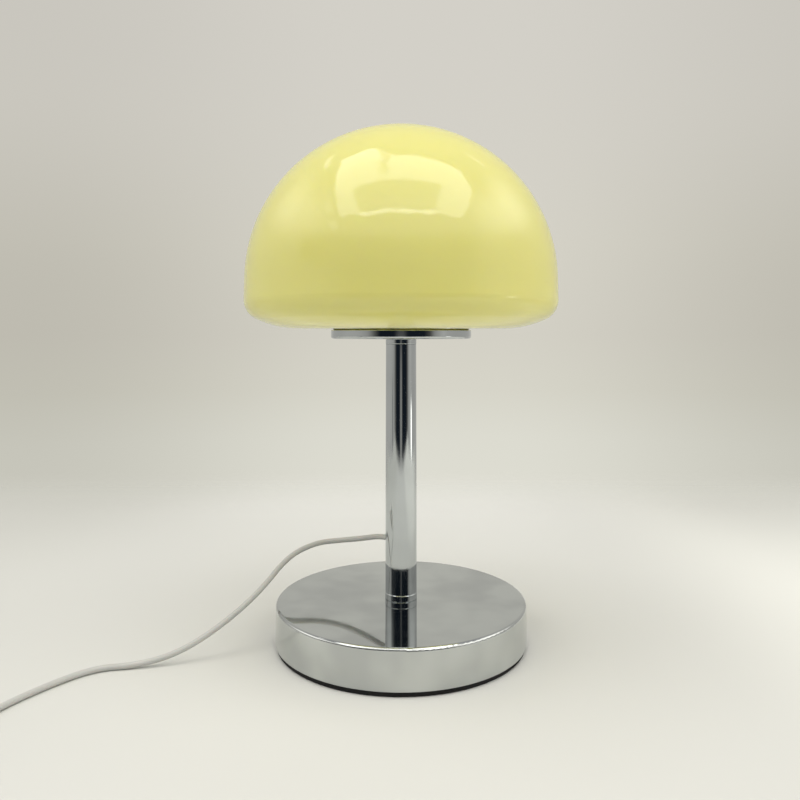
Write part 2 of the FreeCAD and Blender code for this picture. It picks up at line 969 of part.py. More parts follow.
def arc_edge(start, corner, end):
    """The arc that touches both sides of a corner at start and end, equally far from it."""
    middle = (start + end) / 2
    rise = (corner - middle).Length
    half = (end - start).Length / 2
    sag = half * math.tan(math.atan2(rise, half) / 2)
    through = middle + (corner - middle) * (sag / rise)
    return Part.Arc(start, through, end).toShape()


def route_path(points, name):
    """Straight runs joined by tangent arcs, each as large as its two runs allow."""
    points = [FreeCAD.Vector(*point) for point in points]
    edges = []
    radii = []
    here = points[0]
    for before, corner, after in zip(points, points[1:], points[2:]):
        arrive = corner - before
        leave = after - corner
        half_turn = arrive.getAngle(leave) / 2
        reach = 0.45 * min(arrive.Length, leave.Length)
        radii.append(round(reach / math.tan(half_turn), 1))
        start = corner - arrive * (reach / arrive.Length)
        end = corner + leave * (reach / leave.Length)
        edges.append(Part.LineSegment(here, start).toShape())
        edges.append(arc_edge(start, corner, end))
        here = end
    edges.append(Part.LineSegment(here, points[-1]).toShape())
    print(f"{name}: arc radii {radii}")
    return Part.Wire(edges)


def tube_feature(label, path, direction, start):
    """A round solid along a path, whose volume is held against its section times its length."""
    radius = sheet.get("cord_radius")
    ring = Part.Circle(FreeCAD.Vector(*start), FreeCAD.Vector(*direction), radius)
    solid = path.makePipeShell([Part.Wire([ring.toShape()])], True, False)
    if solid.ShapeType != "Solid":
        solid = solid.Solids[0]
    expected = math.pi * radius ** 2 * path.Length
    share = solid.Volume / expected
    print(f"{label}: length {path.Length:.1f}, volume share {share:.4f}")
    if abs(share - 1) > 0.01:
        raise RuntimeError(f"{label} has the wrong volume")
    feature = doc.addObject("Part::Feature", label)
    feature.Shape = solid
    feature.Label = label
    return feature


def routed_tube(label, points):
    direction = [b - a for a, b in zip(points[0], points[1])]
    return tube_feature(label, route_path(points, label), direction, points[0])


TABLE_Z = SIZES["cord_radius"] + TABLE_CLEARANCE
COIL_PITCH = 2 * SIZES["cord_radius"] + COIL_GAP
COIL_MEAN_RADIUS = 12 * SIZES["cord_radius"]
COIL_REVERSE = math.pi * (COIL_TURNS - 0.5)
COIL_RATE = COIL_PITCH / (2 * math.pi)
COIL_OUTER = COIL_MEAN_RADIUS + COIL_RATE * COIL_REVERSE / 2
COIL_INNER = COIL_OUTER - COIL_RATE * COIL_REVERSE
SWITCH_Z = SIZES["switch_split"]
SWITCH_REACH = SIZES["switch_length"] / 2 + SIZES["sleeve_length"]
PLUG_Z = SIZES["plug_height"] / 2


def exit_point(distance):
    """A point on the axis of the column's side hole, at a distance from the column's axis."""
    turn = math.radians(SIZES["exit_turn"])
    return (distance * math.cos(turn), distance * math.sin(turn), SIZES["exit_height"])


EXIT_FACE = SIZES["tube_diameter"] / 2 + SIZES["bush_flange_height"]


def inner_cord():
    """From the bush into the column, up through the nipple and into the board's hole."""
    turning = exit_point(-SIZES["inner_cord_offset"])
    top = (turning[0], turning[1], board_top.value)
    return routed_tube("inner_cord", [exit_point(EXIT_FACE), turning, top])


def cord_to_switch():
    """Over the base, down to the table, past the left front and into the switch."""
    entry = SWITCH_PLACE[0] + SWITCH_REACH
    return routed_tube("cord_to_switch", [
        exit_point(EXIT_FACE),
        exit_point(EXIT_FACE + 7.5),
        (-22.5, 20.2, 48.6),
        (-36.0, 26.3, 45.9),
        (-50.5, 28.0, 43.2),
        (-65.5, 14.5, 38.2),
        (-77.3, -5.4, 26.6),
        (-93.0, -21.6, 15.4),
        (-113.5, -31.8, 5.4),
        (-134.0, -37.6, TABLE_Z),
        (-154.0, -40.6, TABLE_Z),
        (-168.0, -61.5, TABLE_Z),
        (-177.5, -85.0, TABLE_Z),
        (-184.5, -107.0, 2.8),
        (entry + 14.0, SWITCH_PLACE[1], SWITCH_Z),
        (entry, SWITCH_PLACE[1], SWITCH_Z),
    ])


def coil_state(turn):
    """Place and direction on the coil at an angle: in on the table, up a layer, and out on top."""
    if turn <= COIL_REVERSE:
        radius, slope = COIL_OUTER - COIL_RATE * turn, -COIL_RATE
        height, climb = 0.0, 0.0
    elif turn <= COIL_REVERSE + math.pi:
        step = turn - COIL_REVERSE
        radius = COIL_INNER + COIL_RATE * (step * step / math.pi - step)
        slope = COIL_RATE * (2 * step / math.pi - 1)
        height = COIL_PITCH * (1 - math.cos(step)) / 2
        climb = COIL_PITCH * math.sin(step) / 2
    else:
        radius, slope = COIL_INNER + COIL_RATE * (turn - COIL_REVERSE - math.pi), COIL_RATE
        height, climb = COIL_PITCH, 0.0
    away = FreeCAD.Vector(-math.cos(turn), math.sin(turn), 0)
    onward = FreeCAD.Vector(math.sin(turn), math.cos(turn), 0)
    centre = FreeCAD.Vector(COIL_ENTRY[0] + COIL_OUTER, COIL_ENTRY[1], TABLE_Z + height)
    direction = away * slope + onward * radius + FreeCAD.Vector(0, 0, climb)
    direction.normalize()
    return centre + away * radius, direction


def biarc(start, heading, end, final):
    """Two arcs that leave start along heading and reach end along final."""
    chord = end - start
    both = heading + final
    spread = 2 * (1 - heading.dot(final))
    across = chord.dot(both)
    reach = (math.sqrt(across * across + spread * chord.dot(chord)) - across) / spread
    first = start + heading * reach
    last = end - final * reach
    middle = (first + last) / 2
    return [arc_edge(start, first, middle), arc_edge(middle, last, end)]


def coil_ends():
    """The coil's outer ends: each runs straight for one cord diameter."""
    straight = 2 * SIZES["cord_radius"]
    start, heading = coil_state(0.0)
    end, final = coil_state(2 * math.pi * COIL_TURNS)
    return start - heading * straight, heading, end + final * straight, final


def cord_coil():
    begin, heading, finish, _final = coil_ends()
    states = [coil_state(math.pi * index) for index in range(2 * COIL_TURNS + 1)]
    edges = [Part.LineSegment(begin, states[0][0]).toShape()]
    for (start, leave), (end, arrive) in zip(states, states[1:]):
        edges += biarc(start, leave, end, arrive)
    edges.append(Part.LineSegment(states[-1][0], finish).toShape())
    path = Part.Wire(edges)
    print_coil_gap(path)
    return tube_feature("cord_coil", path, heading, begin)


def print_coil_gap(path):
    """The least distance between two turns of the coil, measured on points of its centre line."""
    count = 48 * COIL_TURNS
    points = path.discretize(Number=count + 1)
    apart = math.ceil(math.pi * COIL_INNER / (path.Length / count))
    least = min(
        (points[first] - points[second]).Length
        for first in range(count)
        for second in range(first + apart, count + 1)
    )
    print(f"cord_coil: least gap between turns {least - 2 * SIZES['cord_radius']:.2f}")


def cord_to_coil():
    begin, heading = coil_ends()[:2]
    leave = SWITCH_PLACE[0] - SWITCH_REACH
    before = begin - heading * 13.0
    return routed_tube("cord_to_coil", [
        (leave, SWITCH_PLACE[1], SWITCH_Z),
        (leave - 10.0, SWITCH_PLACE[1], SWITCH_Z),
        (leave - 22.0, SWITCH_PLACE[1] + 8.0, 2.6),
        tuple(before),
        tuple(begin),
    ])


def cord_to_plug():
    finish, final = coil_ends()[2:]
    after = finish + final * 9.0
    entry = PLUG_PLACE[1] - SIZES["boot_length"]
    return routed_tube("cord_to_plug", [
        tuple(finish),
        tuple(after),
        (PLUG_PLACE[0], entry - 8.0, PLUG_Z),
        (PLUG_PLACE[0], entry, PLUG_Z),
    ])


# ------------------------------------------------------------------------------------ in-line switch

def rounded_block(body, name, long, wide, corner, bottom, height):
    """A block with upright rounded corners, between two levels."""
    sketch = new_sketch(body, "XY_Plane", f"{name}_outline")
    half_x = long / 2
    half_y = wide / 2
    draw_outline(sketch, corner_steps([
        (-half_x, -half_y, corner),
        (half_x, -half_y, corner),
        (half_x, half_y, corner),
        (-half_x, half_y, corner),
    ]))
    lift_sketch(sketch, bottom)
    return sketch, height


def switch_shell(label, bottom, height, hollow_bottom, hollow_height):
    """One half of the switch housing: a rounded block hollowed to an even wall."""
    wall = size("switch_wall")
    long = size("switch_length")
    wide = size("switch_width")
    corner = size("switch_corner")
    body = new_body(label)
    sketch, rise = rounded_block(body, f"{label}_block", long, wide, corner, bottom, height)
    pad(body, sketch, f"{label}_block", rise)
    sketch, rise = rounded_block(
        body, f"{label}_hollow", long - wall * 2, wide - wall * 2, corner - wall,
        hollow_bottom, hollow_height,
    )
    pocket(body, sketch, f"{label}_hollow", rise, reverse=True)
    return body


def boss_places():
    return [
        (size("switch_boss_x"), size("switch_boss_y")),
        (-size("switch_boss_x"), -size("switch_boss_y")),
    ]


def add_bosses(body, label, bottom, height):
    sketch = new_sketch(body, "XY_Plane", f"{label}_boss_circles")
    for x, y in boss_places():
        draw_circle(sketch, size("switch_boss"), x, y)
    lift_sketch(sketch, bottom)
    pad(body, sketch, f"{label}_bosses", height)


def drill_bosses(body, name, radius, bottom, height):
    sketch = new_sketch(body, "XY_Plane", f"{name}_circles")
    for x, y in boss_places():
        draw_circle(sketch, radius, x, y)
    lift_sketch(sketch, bottom)
    pocket(body, sketch, name, height, reverse=True)


def cut_sleeve_holes(body, name):
    """The round holes for the two sleeves, half in each half of the housing."""
    sketch = new_sketch(body, "YZ_Plane", f"{name}_circle")
    draw_circle(sketch, size("sleeve_neck") + size("sleeve_fit"), 0, size("switch_split"))
    pocket(body, sketch, name, size("switch_length") + PAST * 2, midplane=True)


def at_switch(item):
    return place(item, SWITCH_PLACE[0], SWITCH_PLACE[1])


def switch_base():
    wall = size("switch_wall")
    split = size("switch_split")
    body = switch_shell("switch_base", as_size(0), split, wall, split)
    add_bosses(body, "base_half", wall / 2, split - wall / 2)
    cut_sleeve_holes(body, "base_sleeve_holes")
    gap = size("switch_screw_gap")
    below = as_size(-PAST)
    drill_bosses(body, "base_screw_holes", size("switch_screw") + gap, below, split + PAST * 2)
    drill_bosses(
        body, "base_head_sinks", size("switch_screw_head") + gap, below,
        size("switch_screw_sink") + PAST,
    )
    return at_switch(body)


def switch_cover():
    wall = size("switch_wall")
    split = size("switch_split")
    top = size("switch_height")
    body = switch_shell("switch_cover", split, top - split, split - PAST, top - split - wall + PAST)
    add_bosses(body, "cover_half", split, top - split - wall / 2)
    cut_sleeve_holes(body, "cover_sleeve_holes")
    screw_top = size("switch_screw_sink") + size("switch_screw_length") + size("switch_screw_room")
    drill_bosses(
        body, "cover_pilot_holes", size("switch_screw") + size("thread_clearance"),
        split - PAST, screw_top - split + PAST,
    )
    half_window = size("rocker_width") / 2 + size("rocker_side_gap")
    sketch = new_sketch(body, "XY_Plane", "lug_rectangles")
    half_lug = size("lug_length") / 2
    for side in (1, -1):
        near = half_window * side
        far = (half_window + size("lug_width")) * side
        draw_outline(sketch, corner_steps([
            (-half_lug, near), (half_lug, near), (half_lug, far), (-half_lug, far),
        ]))
    lug_z = size("rocker_pivot_height") - size("lug_drop")
    lift_sketch(sketch, lug_z)
    pad(body, sketch, "rocker_lugs", top - wall / 2 - lug_z)
    sketch = new_sketch(body, "XY_Plane", "rocker_window_outline")
    half_long = size("rocker_length") / 2 + size("rocker_end_gap")
    corner = size("window_radius")
    draw_outline(sketch, corner_steps([
        (-half_long, -half_window, corner),
        (half_long, -half_window, corner),
        (half_long, half_window, corner),
        (-half_long, half_window, corner),
    ]))
    lift_sketch(sketch, top + PAST)
    pocket(body, sketch, "rocker_window", wall + PAST * 2)
    sketch = new_sketch(body, "XZ_Plane", "trunnion_hole_circle")
    draw_circle(
        sketch, size("trunnion_radius") + size("trunnion_fit"), 0, size("rocker_pivot_height")
    )
    deep = (half_window + size("lug_width") + PAST) * 2
    pocket(body, sketch, "trunnion_holes", deep, midplane=True)
    return at_switch(body)


def switch_rocker():
    """Built level about its trunnions, then tipped: one end is down."""
    body = new_body("switch_rocker")
    half = size("rocker_length") / 2
    above = size("rocker_above")
    below = size("rocker_below")
    dip = size("rocker_dip")
    zero = as_size(0)
    radius = (half * half + dip * dip) / (dip * 2)
    sketch = new_sketch(body, "XZ_Plane", "rocker_side")
    draw_outline(sketch, [
        line_to(-half, -below),
        line_to(half, -below),
        line_to(half, above),
        arc_to((zero, above - dip), radius, (zero, above - dip + radius), False),
        arc_to((-half, above), radius, (zero, above - dip + radius), False),
    ])
    pad(body, sketch, "rocker_block", size("rocker_width"), midplane=True)
    sketch = new_sketch(body, "XZ_Plane", "trunnion_circle")
    draw_circle(sketch, size("trunnion_radius"))
    pad(
        body, sketch, "trunnions", size("rocker_width") + size("trunnion_reach") * 2, midplane=True
    )
    return place(
        body, SWITCH_PLACE[0], SWITCH_PLACE[1], size("rocker_pivot_height"),
        axis=(0, 1, 0), angle=size("rocker_tilt"),
    )


def switch_contacts():
    """Two bent brass strips: a foot on the housing floor and an upright under each end of the rocker."""
    pieces = []
    for index, side in enumerate((1, -1), start=1):
        foot = primitive(
            "Box", f"contact_foot_{index}",
            Length=size("contact_foot"), Width=size("contact_width"), Height=size("contact_sheet"),
        )
        riser = primitive(
            "Box", f"contact_riser_{index}",
            Length=size("contact_sheet"), Width=size("contact_width"), Height=size("contact_rise"),
        )
        start = size("contact_x") if side == 1 else -size("contact_x") - size("contact_foot")
        stand = size("contact_x") if side == 1 else -size("contact_x") - size("contact_sheet")
        back = as_size(SWITCH_PLACE[1]) - size("contact_width") / 2
        place(foot, start + SWITCH_PLACE[0], back, size("switch_wall"))
        place(riser, stand + SWITCH_PLACE[0], back, size("switch_wall"))
        pieces.append(joined("Fuse", f"contact_{index}", foot, riser))
    return compound("switch_contacts", pieces)


def switch_screws():
    screws = []
    for index, (x, y) in enumerate(boss_places(), start=1):
        head = primitive(
            "Cylinder", f"switch_head_{index}",
            Radius=size("switch_screw_head"),
            Height=size("switch_screw_sink") - size("switch_screw_recess"),
        )
        shank = primitive(
            "Cylinder", f"switch_shank_{index}",
            Radius=size("switch_screw"), Height=size("switch_screw_length"),
        )
        place(head, x + SWITCH_PLACE[0], y + SWITCH_PLACE[1], size("switch_screw_recess"))
        place(shank, x + SWITCH_PLACE[0], y + SWITCH_PLACE[1], size("switch_screw_sink"))
        screws.append(joined("Fuse", f"switch_screw_{index}", head, shank))
    return compound("switch_screws", screws)


def switch_sleeves():
    """The two moulded sleeves on the cord, held by a flange inside the housing."""
    wall = size("switch_wall")
    gap = size("sleeve_gap")
    sleeves = []
    for index, turn in enumerate((0, 180), start=1):
        body = new_body(f"sleeve_{index}")
        end = size("switch_length") / 2
        inside = end - wall - gap
        sketch = new_sketch(body, "XZ_Plane", f"sleeve_{index}_outline")
        draw_outline(sketch, corner_steps([
            (inside - size("sleeve_flange_height"), 0),
            (end + size("sleeve_length"), 0),
            (end + size("sleeve_length"), size("sleeve_tip")),
            (end + gap, size("sleeve_root")),
            (end + gap, size("sleeve_neck")),
            (inside, size("sleeve_neck")),
            (inside, size("sleeve_flange")),
            (inside - size("sleeve_flange_height"), size("sleeve_flange")),
        ]))
        revolve(body, sketch, f"sleeve_{index}_turned", axis="H_Axis")
        place(body, SWITCH_PLACE[0], SWITCH_PLACE[1], size("switch_split"), angle=turn)
        sleeves.append(body)
    return compound("switch_sleeves", sleeves)


# --------------------------------------------------------------------------------------------- plug

def at_plug(item, turn=90):
    """Turns a plug piece from X to +Y and lays it down: its origin is where boot and housing meet."""
    return place(item, PLUG_PLACE[0], PLUG_PLACE[1], PLUG_Z, angle=turn)


def block_sketch(body, name, wide, high, corner, reach, centre_z=0):
    """A rectangle across X, with rounded corners where corner is given, at a distance along X."""
    sketch = new_sketch(body, "YZ_Plane", name)
    half_y = wide / 2
    half_z = high / 2
    centre_z = as_size(centre_z)
    corners = [
        (-half_y, centre_z - half_z),
        (half_y, centre_z - half_z),
        (half_y, centre_z + half_z),
        (-half_y, centre_z + half_z),
    ]
    if corner is not None:
        corners = [(y, z, corner) for y, z in corners]
    draw_outline(sketch, corner_steps(corners))
    lift_sketch(sketch, reach)
    return sketch


def usb_housing():
    """The moulded grip with its ribbed boot, and a socket for the metal shell."""
    body = new_body("usb_housing")
    long = size("plug_length")
    sketch = block_sketch(
        body, "grip_outline", size("plug_width"), size("plug_height"), size("plug_corner"),
        as_size(0),
    )
    pad(body, sketch, "grip", long)
    slot = size("boot_slot")
    rib = size("boot_length") / 7
    overlap = size("boot_root_overlap")
    corners = [(overlap, as_size(0)), (-size("boot_length"), as_size(0))]
    corners.append((-size("boot_length"), size("boot_tip")))
    taper = (size("boot_root") - size("boot_tip")) / size("boot_length")
    for index in (5, 3, 1):
        middle = -(rib * index)
        before = middle - slot / 2
        after = middle + slot / 2
        for place_x, sunk in ((before, 0), (before, 1), (after, 1), (after, 0)):
            depth = size("boot_slot_depth") * sunk
            corners.append((place_x, size("boot_root") + taper * place_x - depth))
    corners.append((overlap, size("boot_root")))
    sketch = new_sketch(body, "XZ_Plane", "boot_outline")
    draw_outline(sketch, corner_steps(corners))
    revolve(body, sketch, "boot", axis="H_Axis")
    sketch = block_sketch(
        body, "shell_socket_outline",
        size("usb_width") + size("usb_fit") * 2, size("usb_height") + size("usb_fit") * 2, None,
        long + PAST,
    )
    pocket(body, sketch, "shell_socket", size("usb_depth") + PAST)
    return at_plug(body)


def usb_shell():
    """The bent sheet-metal tube, with two square windows in each broad side."""
    body = new_body("usb_shell")
    sheet_wall = size("usb_sheet")
    back = size("plug_length") - size("usb_depth")
    long = size("usb_depth") + size("usb_reach")
    corner = size("usb_corner")
    sketch = block_sketch(
        body, "shell_outline", size("usb_width"), size("usb_height"), corner, back
    )
    pad(body, sketch, "shell_tube", long)
    sketch = block_sketch(
        body, "shell_bore_outline", size("usb_width") - sheet_wall * 2,
        size("usb_height") - sheet_wall * 2, corner - sheet_wall, back - PAST,
    )
    pocket(body, sketch, "shell_bore", long + PAST * 2, reverse=True)
    sketch = new_sketch(body, "XY_Plane", "shell_windows_outline")
    near = size("plug_length") + size("usb_window_from_grip")
    far = near + size("usb_window")
    for side in (1, -1):
        low = size("usb_window_from_middle") * side
        high = low + size("usb_window") * side
        draw_outline(sketch, corner_steps([(near, low), (far, low), (far, high), (near, high)]))
    pocket(body, sketch, "shell_windows", size("usb_height") + PAST * 2, midplane=True)
    return at_plug(body)


def usb_levels():
    inner_half = size("usb_height") / 2 - size("usb_sheet") - size("usb_fit")
    back = size("plug_length") - size("usb_depth") + size("insulator_setback")
    return inner_half, back


def usb_insulator():
    """The moulded block at the back of the shell and the tongue in its upper half."""
    inner_half, back = usb_levels()
    body = new_body("usb_insulator")
    wide = size("usb_width") - size("usb_sheet") * 2 - size("usb_fit") * 2
    corner = size("usb_sheet")
    sketch = block_sketch(body, "insulator_outline", wide, inner_half * 2, corner, back)
    pad(body, sketch, "insulator_block_pad", size("insulator_block"))
    tongue = size("tongue_height")
    sketch = block_sketch(
        body, "tongue_outline", size("tongue_width"), tongue, None,
        back + size("insulator_block") - size("tongue_root"), inner_half - tongue / 2,
    )
    pad(body, sketch, "tongue", size("tongue_length") + size("tongue_root"))
    return at_plug(body)


def usb_contacts():
    """Four flat contacts on the lower face of the tongue."""
    inner_half, back = usb_levels()
    front = back + size("insulator_block")
    strips = []
    for index in range(4):
        strip = primitive(
            "Box", f"usb_contact_{index + 1}",
            Length=size("usb_contact_width"), Width=size("usb_contact_length"),
            Height=size("usb_contact_sheet"),
        )
        across = size("usb_contact_pitch") * (index - 1.5) - size("usb_contact_width") / 2
        x = across + PLUG_PLACE[0]
        y = front + size("usb_contact_gap") + PLUG_PLACE[1]
        z = inner_half - size("tongue_height") - size("usb_contact_sheet") + PLUG_Z
        strips.append(place(strip, x, y, z))
    return compound("usb_contacts", strips)


# --------------------------------------------------------------------------------- build and export

def build_nodes():
    washer_z, spring_z, _head_z = base_bolt_levels()
    bolt_hole = size("bolt_radius") + size("washer_clearance")
    nipple_hole = nipple_r + size("washer_clearance")
    return [
        foot_pad(),
        base_shell(),
        base_weight(),
        base_bolt(),
        washer(
            "base_spring_washer", bolt_hole, size("spring_washer_radius"), spring_z,
            size("spring_washer_height"), size("spring_washer_turn"),
        ),
        washer(
            "base_flat_washer", bolt_hole, size("flat_washer_radius"), washer_z,
            size("flat_washer_height"),
        ),
        lower_ferrule(),
        column_tube(),
        cord_grommet(),
        upper_ferrule(),
        shade_dish(),
        shade_seat_ring(),
        threaded_nipple(),
        washer(
            "dish_washer", nipple_hole, size("dish_washer_radius"), dish_floor_z,
            size("dish_washer_height"),
        ),
        dish_nut(),
        led_heat_sink(),
        led_board(),
        led_emitters(),
        led_screws(),
        led_diffuser(),
        glass_shade(),
        inner_cord(),
        cord_to_switch(),
        switch_base(),
        switch_cover(),
        switch_rocker(),
        switch_contacts(),
        switch_screws(),
        switch_sleeves(),
        cord_to_coil(),
        cord_coil(),
        cord_to_plug(),
        usb_housing(),
        usb_shell(),
        usb_insulator(),
        usb_contacts(),
    ]


nodes = build_nodes()
doc.recompute()

faults = [item.Label for item in doc.Objects if {"Invalid", "Error"} & set(item.State)]
faults += [node.Label for node in nodes if node.Shape.isNull() or not node.Shape.isValid()]
if faults:
    raise RuntimeError(f"these failed: {sorted(set(faults))}")

os.makedirs("parts", exist_ok=True)
for node in nodes:
    node.Shape.exportStep(f"parts/{node.Label}.step")
print(f"{len(nodes)} sub-parts written")
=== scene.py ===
import math

import bpy
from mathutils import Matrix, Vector


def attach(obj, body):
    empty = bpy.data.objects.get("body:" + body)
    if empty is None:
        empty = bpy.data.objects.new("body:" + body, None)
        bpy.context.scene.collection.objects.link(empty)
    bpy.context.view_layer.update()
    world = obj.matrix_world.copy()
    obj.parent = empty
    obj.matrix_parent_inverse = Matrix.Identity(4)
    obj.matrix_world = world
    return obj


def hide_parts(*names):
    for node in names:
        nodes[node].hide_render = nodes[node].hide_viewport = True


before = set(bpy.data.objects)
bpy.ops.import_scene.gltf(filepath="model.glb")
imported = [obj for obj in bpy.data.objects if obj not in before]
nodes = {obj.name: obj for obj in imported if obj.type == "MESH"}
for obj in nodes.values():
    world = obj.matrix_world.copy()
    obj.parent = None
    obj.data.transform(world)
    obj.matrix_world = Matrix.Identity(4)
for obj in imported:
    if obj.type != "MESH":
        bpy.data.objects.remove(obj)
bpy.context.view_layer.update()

scene = bpy.context.scene


# ------------------------------------------------------------------------------------ node helpers

class Shader:
    """A node tree under construction: adds nodes by type, sets their sockets and links them."""

    def __init__(self, tree):
        self.tree = tree
        self.tree.nodes.clear()

    def add(self, kind, inputs=None, **settings):
        node = self.tree.nodes.new(kind)
        for name, value in settings.items():
            setattr(node, name, value)
        for name, value in (inputs or {}).items():
            self.feed(node.inputs[name], value)
        return node

    def feed(self, socket, value):
        if isinstance(value, bpy.types.NodeSocket):
            self.tree.links.new(value, socket)
        elif isinstance(value, bpy.types.Node):
            self.tree.links.new(value.outputs[0], socket)
        else:
            socket.default_value = value

    def math(self, operation, a, b=0.0):
        return self.add("ShaderNodeMath", {0: a, 1: b}, operation=operation).outputs[0]

    def product(self, *factors):
        result = factors[0]
        for factor in factors[1:]:
            result = self.math("MULTIPLY", result, factor)
        return result

    def greatest(self, *values):
        result = values[0]
        for value in values[1:]:
            result = self.math("MAXIMUM", result, value)
        return result

    def dot(self, a, b):
        return self.add("ShaderNodeVectorMath", {0: a, 1: b}, operation="DOT_PRODUCT").outputs["Value"]

    def smooth(self, value, low, high, start=0.0, end=1.0):
        """Eases from start to end while the value goes from low to high, and holds them beyond."""
        node = self.add("ShaderNodeMapRange", {
            "Value": value, "From Min": low, "From Max": high, "To Min": start, "To Max": end,
        }, interpolation_type="SMOOTHSTEP")
        return node.outputs[0]

    def band(self, value, low, high, soft):
        """1 between two levels, 0 outside, with soft edges.  The levels may be sockets."""
        rise = self.smooth(self.math("SUBTRACT", value, low), -soft, soft)
        fall = self.smooth(self.math("SUBTRACT", value, high), -soft, soft, 1.0, 0.0)
        return self.math("MULTIPLY", rise, fall)

    def patch(self, across, across_band, along, along_band, strength=1.0):
        """A soft-edged patch in two coordinates; each band is (low, high, soft)."""
        return self.product(self.band(across, *across_band), self.band(along, *along_band), strength)

    def noise(self, place, scale, detail=2.0, roughness=0.5):
        inputs = {"Vector": place, "Scale": scale, "Detail": detail, "Roughness": roughness}
        return self.add("ShaderNodeTexNoise", inputs).outputs["Fac"]

    def ramp(self, value, stops):
        node = self.add("ShaderNodeValToRGB", {"Fac": value})
        ramp = node.color_ramp
        while len(ramp.elements) > 1:
            ramp.elements.remove(ramp.elements[-1])
        ramp.elements[0].position, ramp.elements[0].color = stops[0]
        for position, colour in stops[1:]:
            ramp.elements.new(position).color = colour
        return node.outputs["Color"]

    def mix(self, factor, a, b):
        node = self.add("ShaderNodeMix", data_type="RGBA")
        self.feed(node.inputs["Factor"], factor)
        self.feed(node.inputs["A"], a)
        self.feed(node.inputs["B"], b)
        return node.outputs["Result"]


def linear(red, green, blue):
    """A screen colour, 0 to 255, as linear light."""
    def channel(value):
        value /= 255
        return value / 12.92 if value <= 0.04045 else ((value + 0.055) / 1.055) ** 2.4
    return (channel(red), channel(green), channel(blue), 1.0)


def material(name):
    made = bpy.data.materials.new(name)
    made.use_nodes = True
    return made, Shader(made.node_tree)


def object_place(shader):
    """The coordinates of the object itself, in metres: CAD nodes and new pieces share one frame."""
    return shader.add("ShaderNodeTexCoord").outputs["Object"]


BEVEL_SAMPLES = 12


def finish_surface(shader, surface_inputs, height, distance, strength, rounding=0.0):
    """The surface with its bump.  A rounding, in metres, shades narrow edges and facets as one curve."""
    bump = {"Strength": strength, "Distance": distance, "Height": height}
    if rounding:
        bevel = shader.add("ShaderNodeBevel", {"Radius": rounding}, samples=BEVEL_SAMPLES)
        bump["Normal"] = bevel.outputs["Normal"]
    surface_inputs["Normal"] = shader.add("ShaderNodeBump", bump).outputs["Normal"]
    surface = shader.add("ShaderNodeBsdfPrincipled", surface_inputs)
    shader.add("ShaderNodeOutputMaterial", {"Surface": surface.outputs[0]})


# --------------------------------------------------------------------------------------- materials
# Noise scales are in cells per metre, bump distances in metres.

def chrome(name, light, dark, rounding):
    """Polished chrome plate: faint haze, a slow cloud and a slow ripple of the plated skin."""
    made, shader = material(name)
    place = object_place(shader)
    haze = shader.noise(place, scale=90.0, detail=3.0, roughness=0.6)
    cloud = shader.smooth(shader.noise(place, scale=30.0), low=0.32, high=0.68)
    ripple = shader.noise(place, scale=26.0, detail=1.0, roughness=0.4)
    finish_surface(shader, {
        "Base Color": shader.mix(cloud, linear(*dark), linear(*light)),
        "Metallic": 1.0,
        "Roughness": shader.smooth(haze, low=0.3, high=0.75, start=0.035, end=0.085),
    }, height=ripple, distance=0.0004, strength=0.03, rounding=rounding)
    return made


def opal_glass():
    """Pale yellow opal glass: milky all through, fire-polished skin, faint cloud in the colour."""
    made, shader = material("opal_glass")
    place = object_place(shader)
    cloud = shader.noise(place, scale=14.0, detail=3.0, roughness=0.55)
    polish = shader.noise(place, scale=220.0)
    ripple = shader.noise(place, scale=18.0, detail=1.0, roughness=0.4)
    finish_surface(shader, {
        "Base Color": shader.mix(cloud, linear(246, 237, 140), linear(249, 241, 152)),
        "Roughness": shader.smooth(polish, low=0.3, high=0.7, start=0.03, end=0.055),
        "IOR": 1.55,
        "Subsurface Weight": 0.35,
        "Subsurface Radius": (1.0, 0.85, 0.35),
        "Subsurface Scale": 0.006,
    }, height=ripple, distance=0.0006, strength=0.15)
    return made


def moulded(name, light, dark, roughness, grain=2400.0, depth=0.00003, strength=0.35):
    """Moulded plastic or rubber: a fine spark-eroded grain and a slight drift of tone."""
    made, shader = material(name)
    place = object_place(shader)
    drift = shader.noise(place, scale=120.0, detail=3.0, roughness=0.6)
    fine = shader.noise(place, scale=grain, roughness=0.6)
    smoothest, roughest = roughness
    finish_surface(shader, {
        "Base Color": shader.mix(drift, linear(*dark), linear(*light)),
        "Roughness": shader.smooth(fine, low=0.25, high=0.75, start=smoothest, end=roughest),
    }, height=fine, distance=depth, strength=strength)
    return made


def plated(name, light, dark, roughness=(0.22, 0.4), grain=700.0):
    """Plated or bare metal with a fine, slightly mottled grain."""
    made, shader = material(name)
    place = object_place(shader)
    mottle = shader.noise(place, scale=grain, detail=4.0, roughness=0.65)
    smoothest, roughest = roughness
    finish_surface(shader, {
        "Base Color": shader.mix(mottle, linear(*dark), linear(*light)),
        "Metallic": 1.0,
        "Roughness": shader.smooth(mottle, low=0.3, high=0.7, start=smoothest, end=roughest),
    }, height=mottle, distance=0.00003, strength=0.3)
    return made


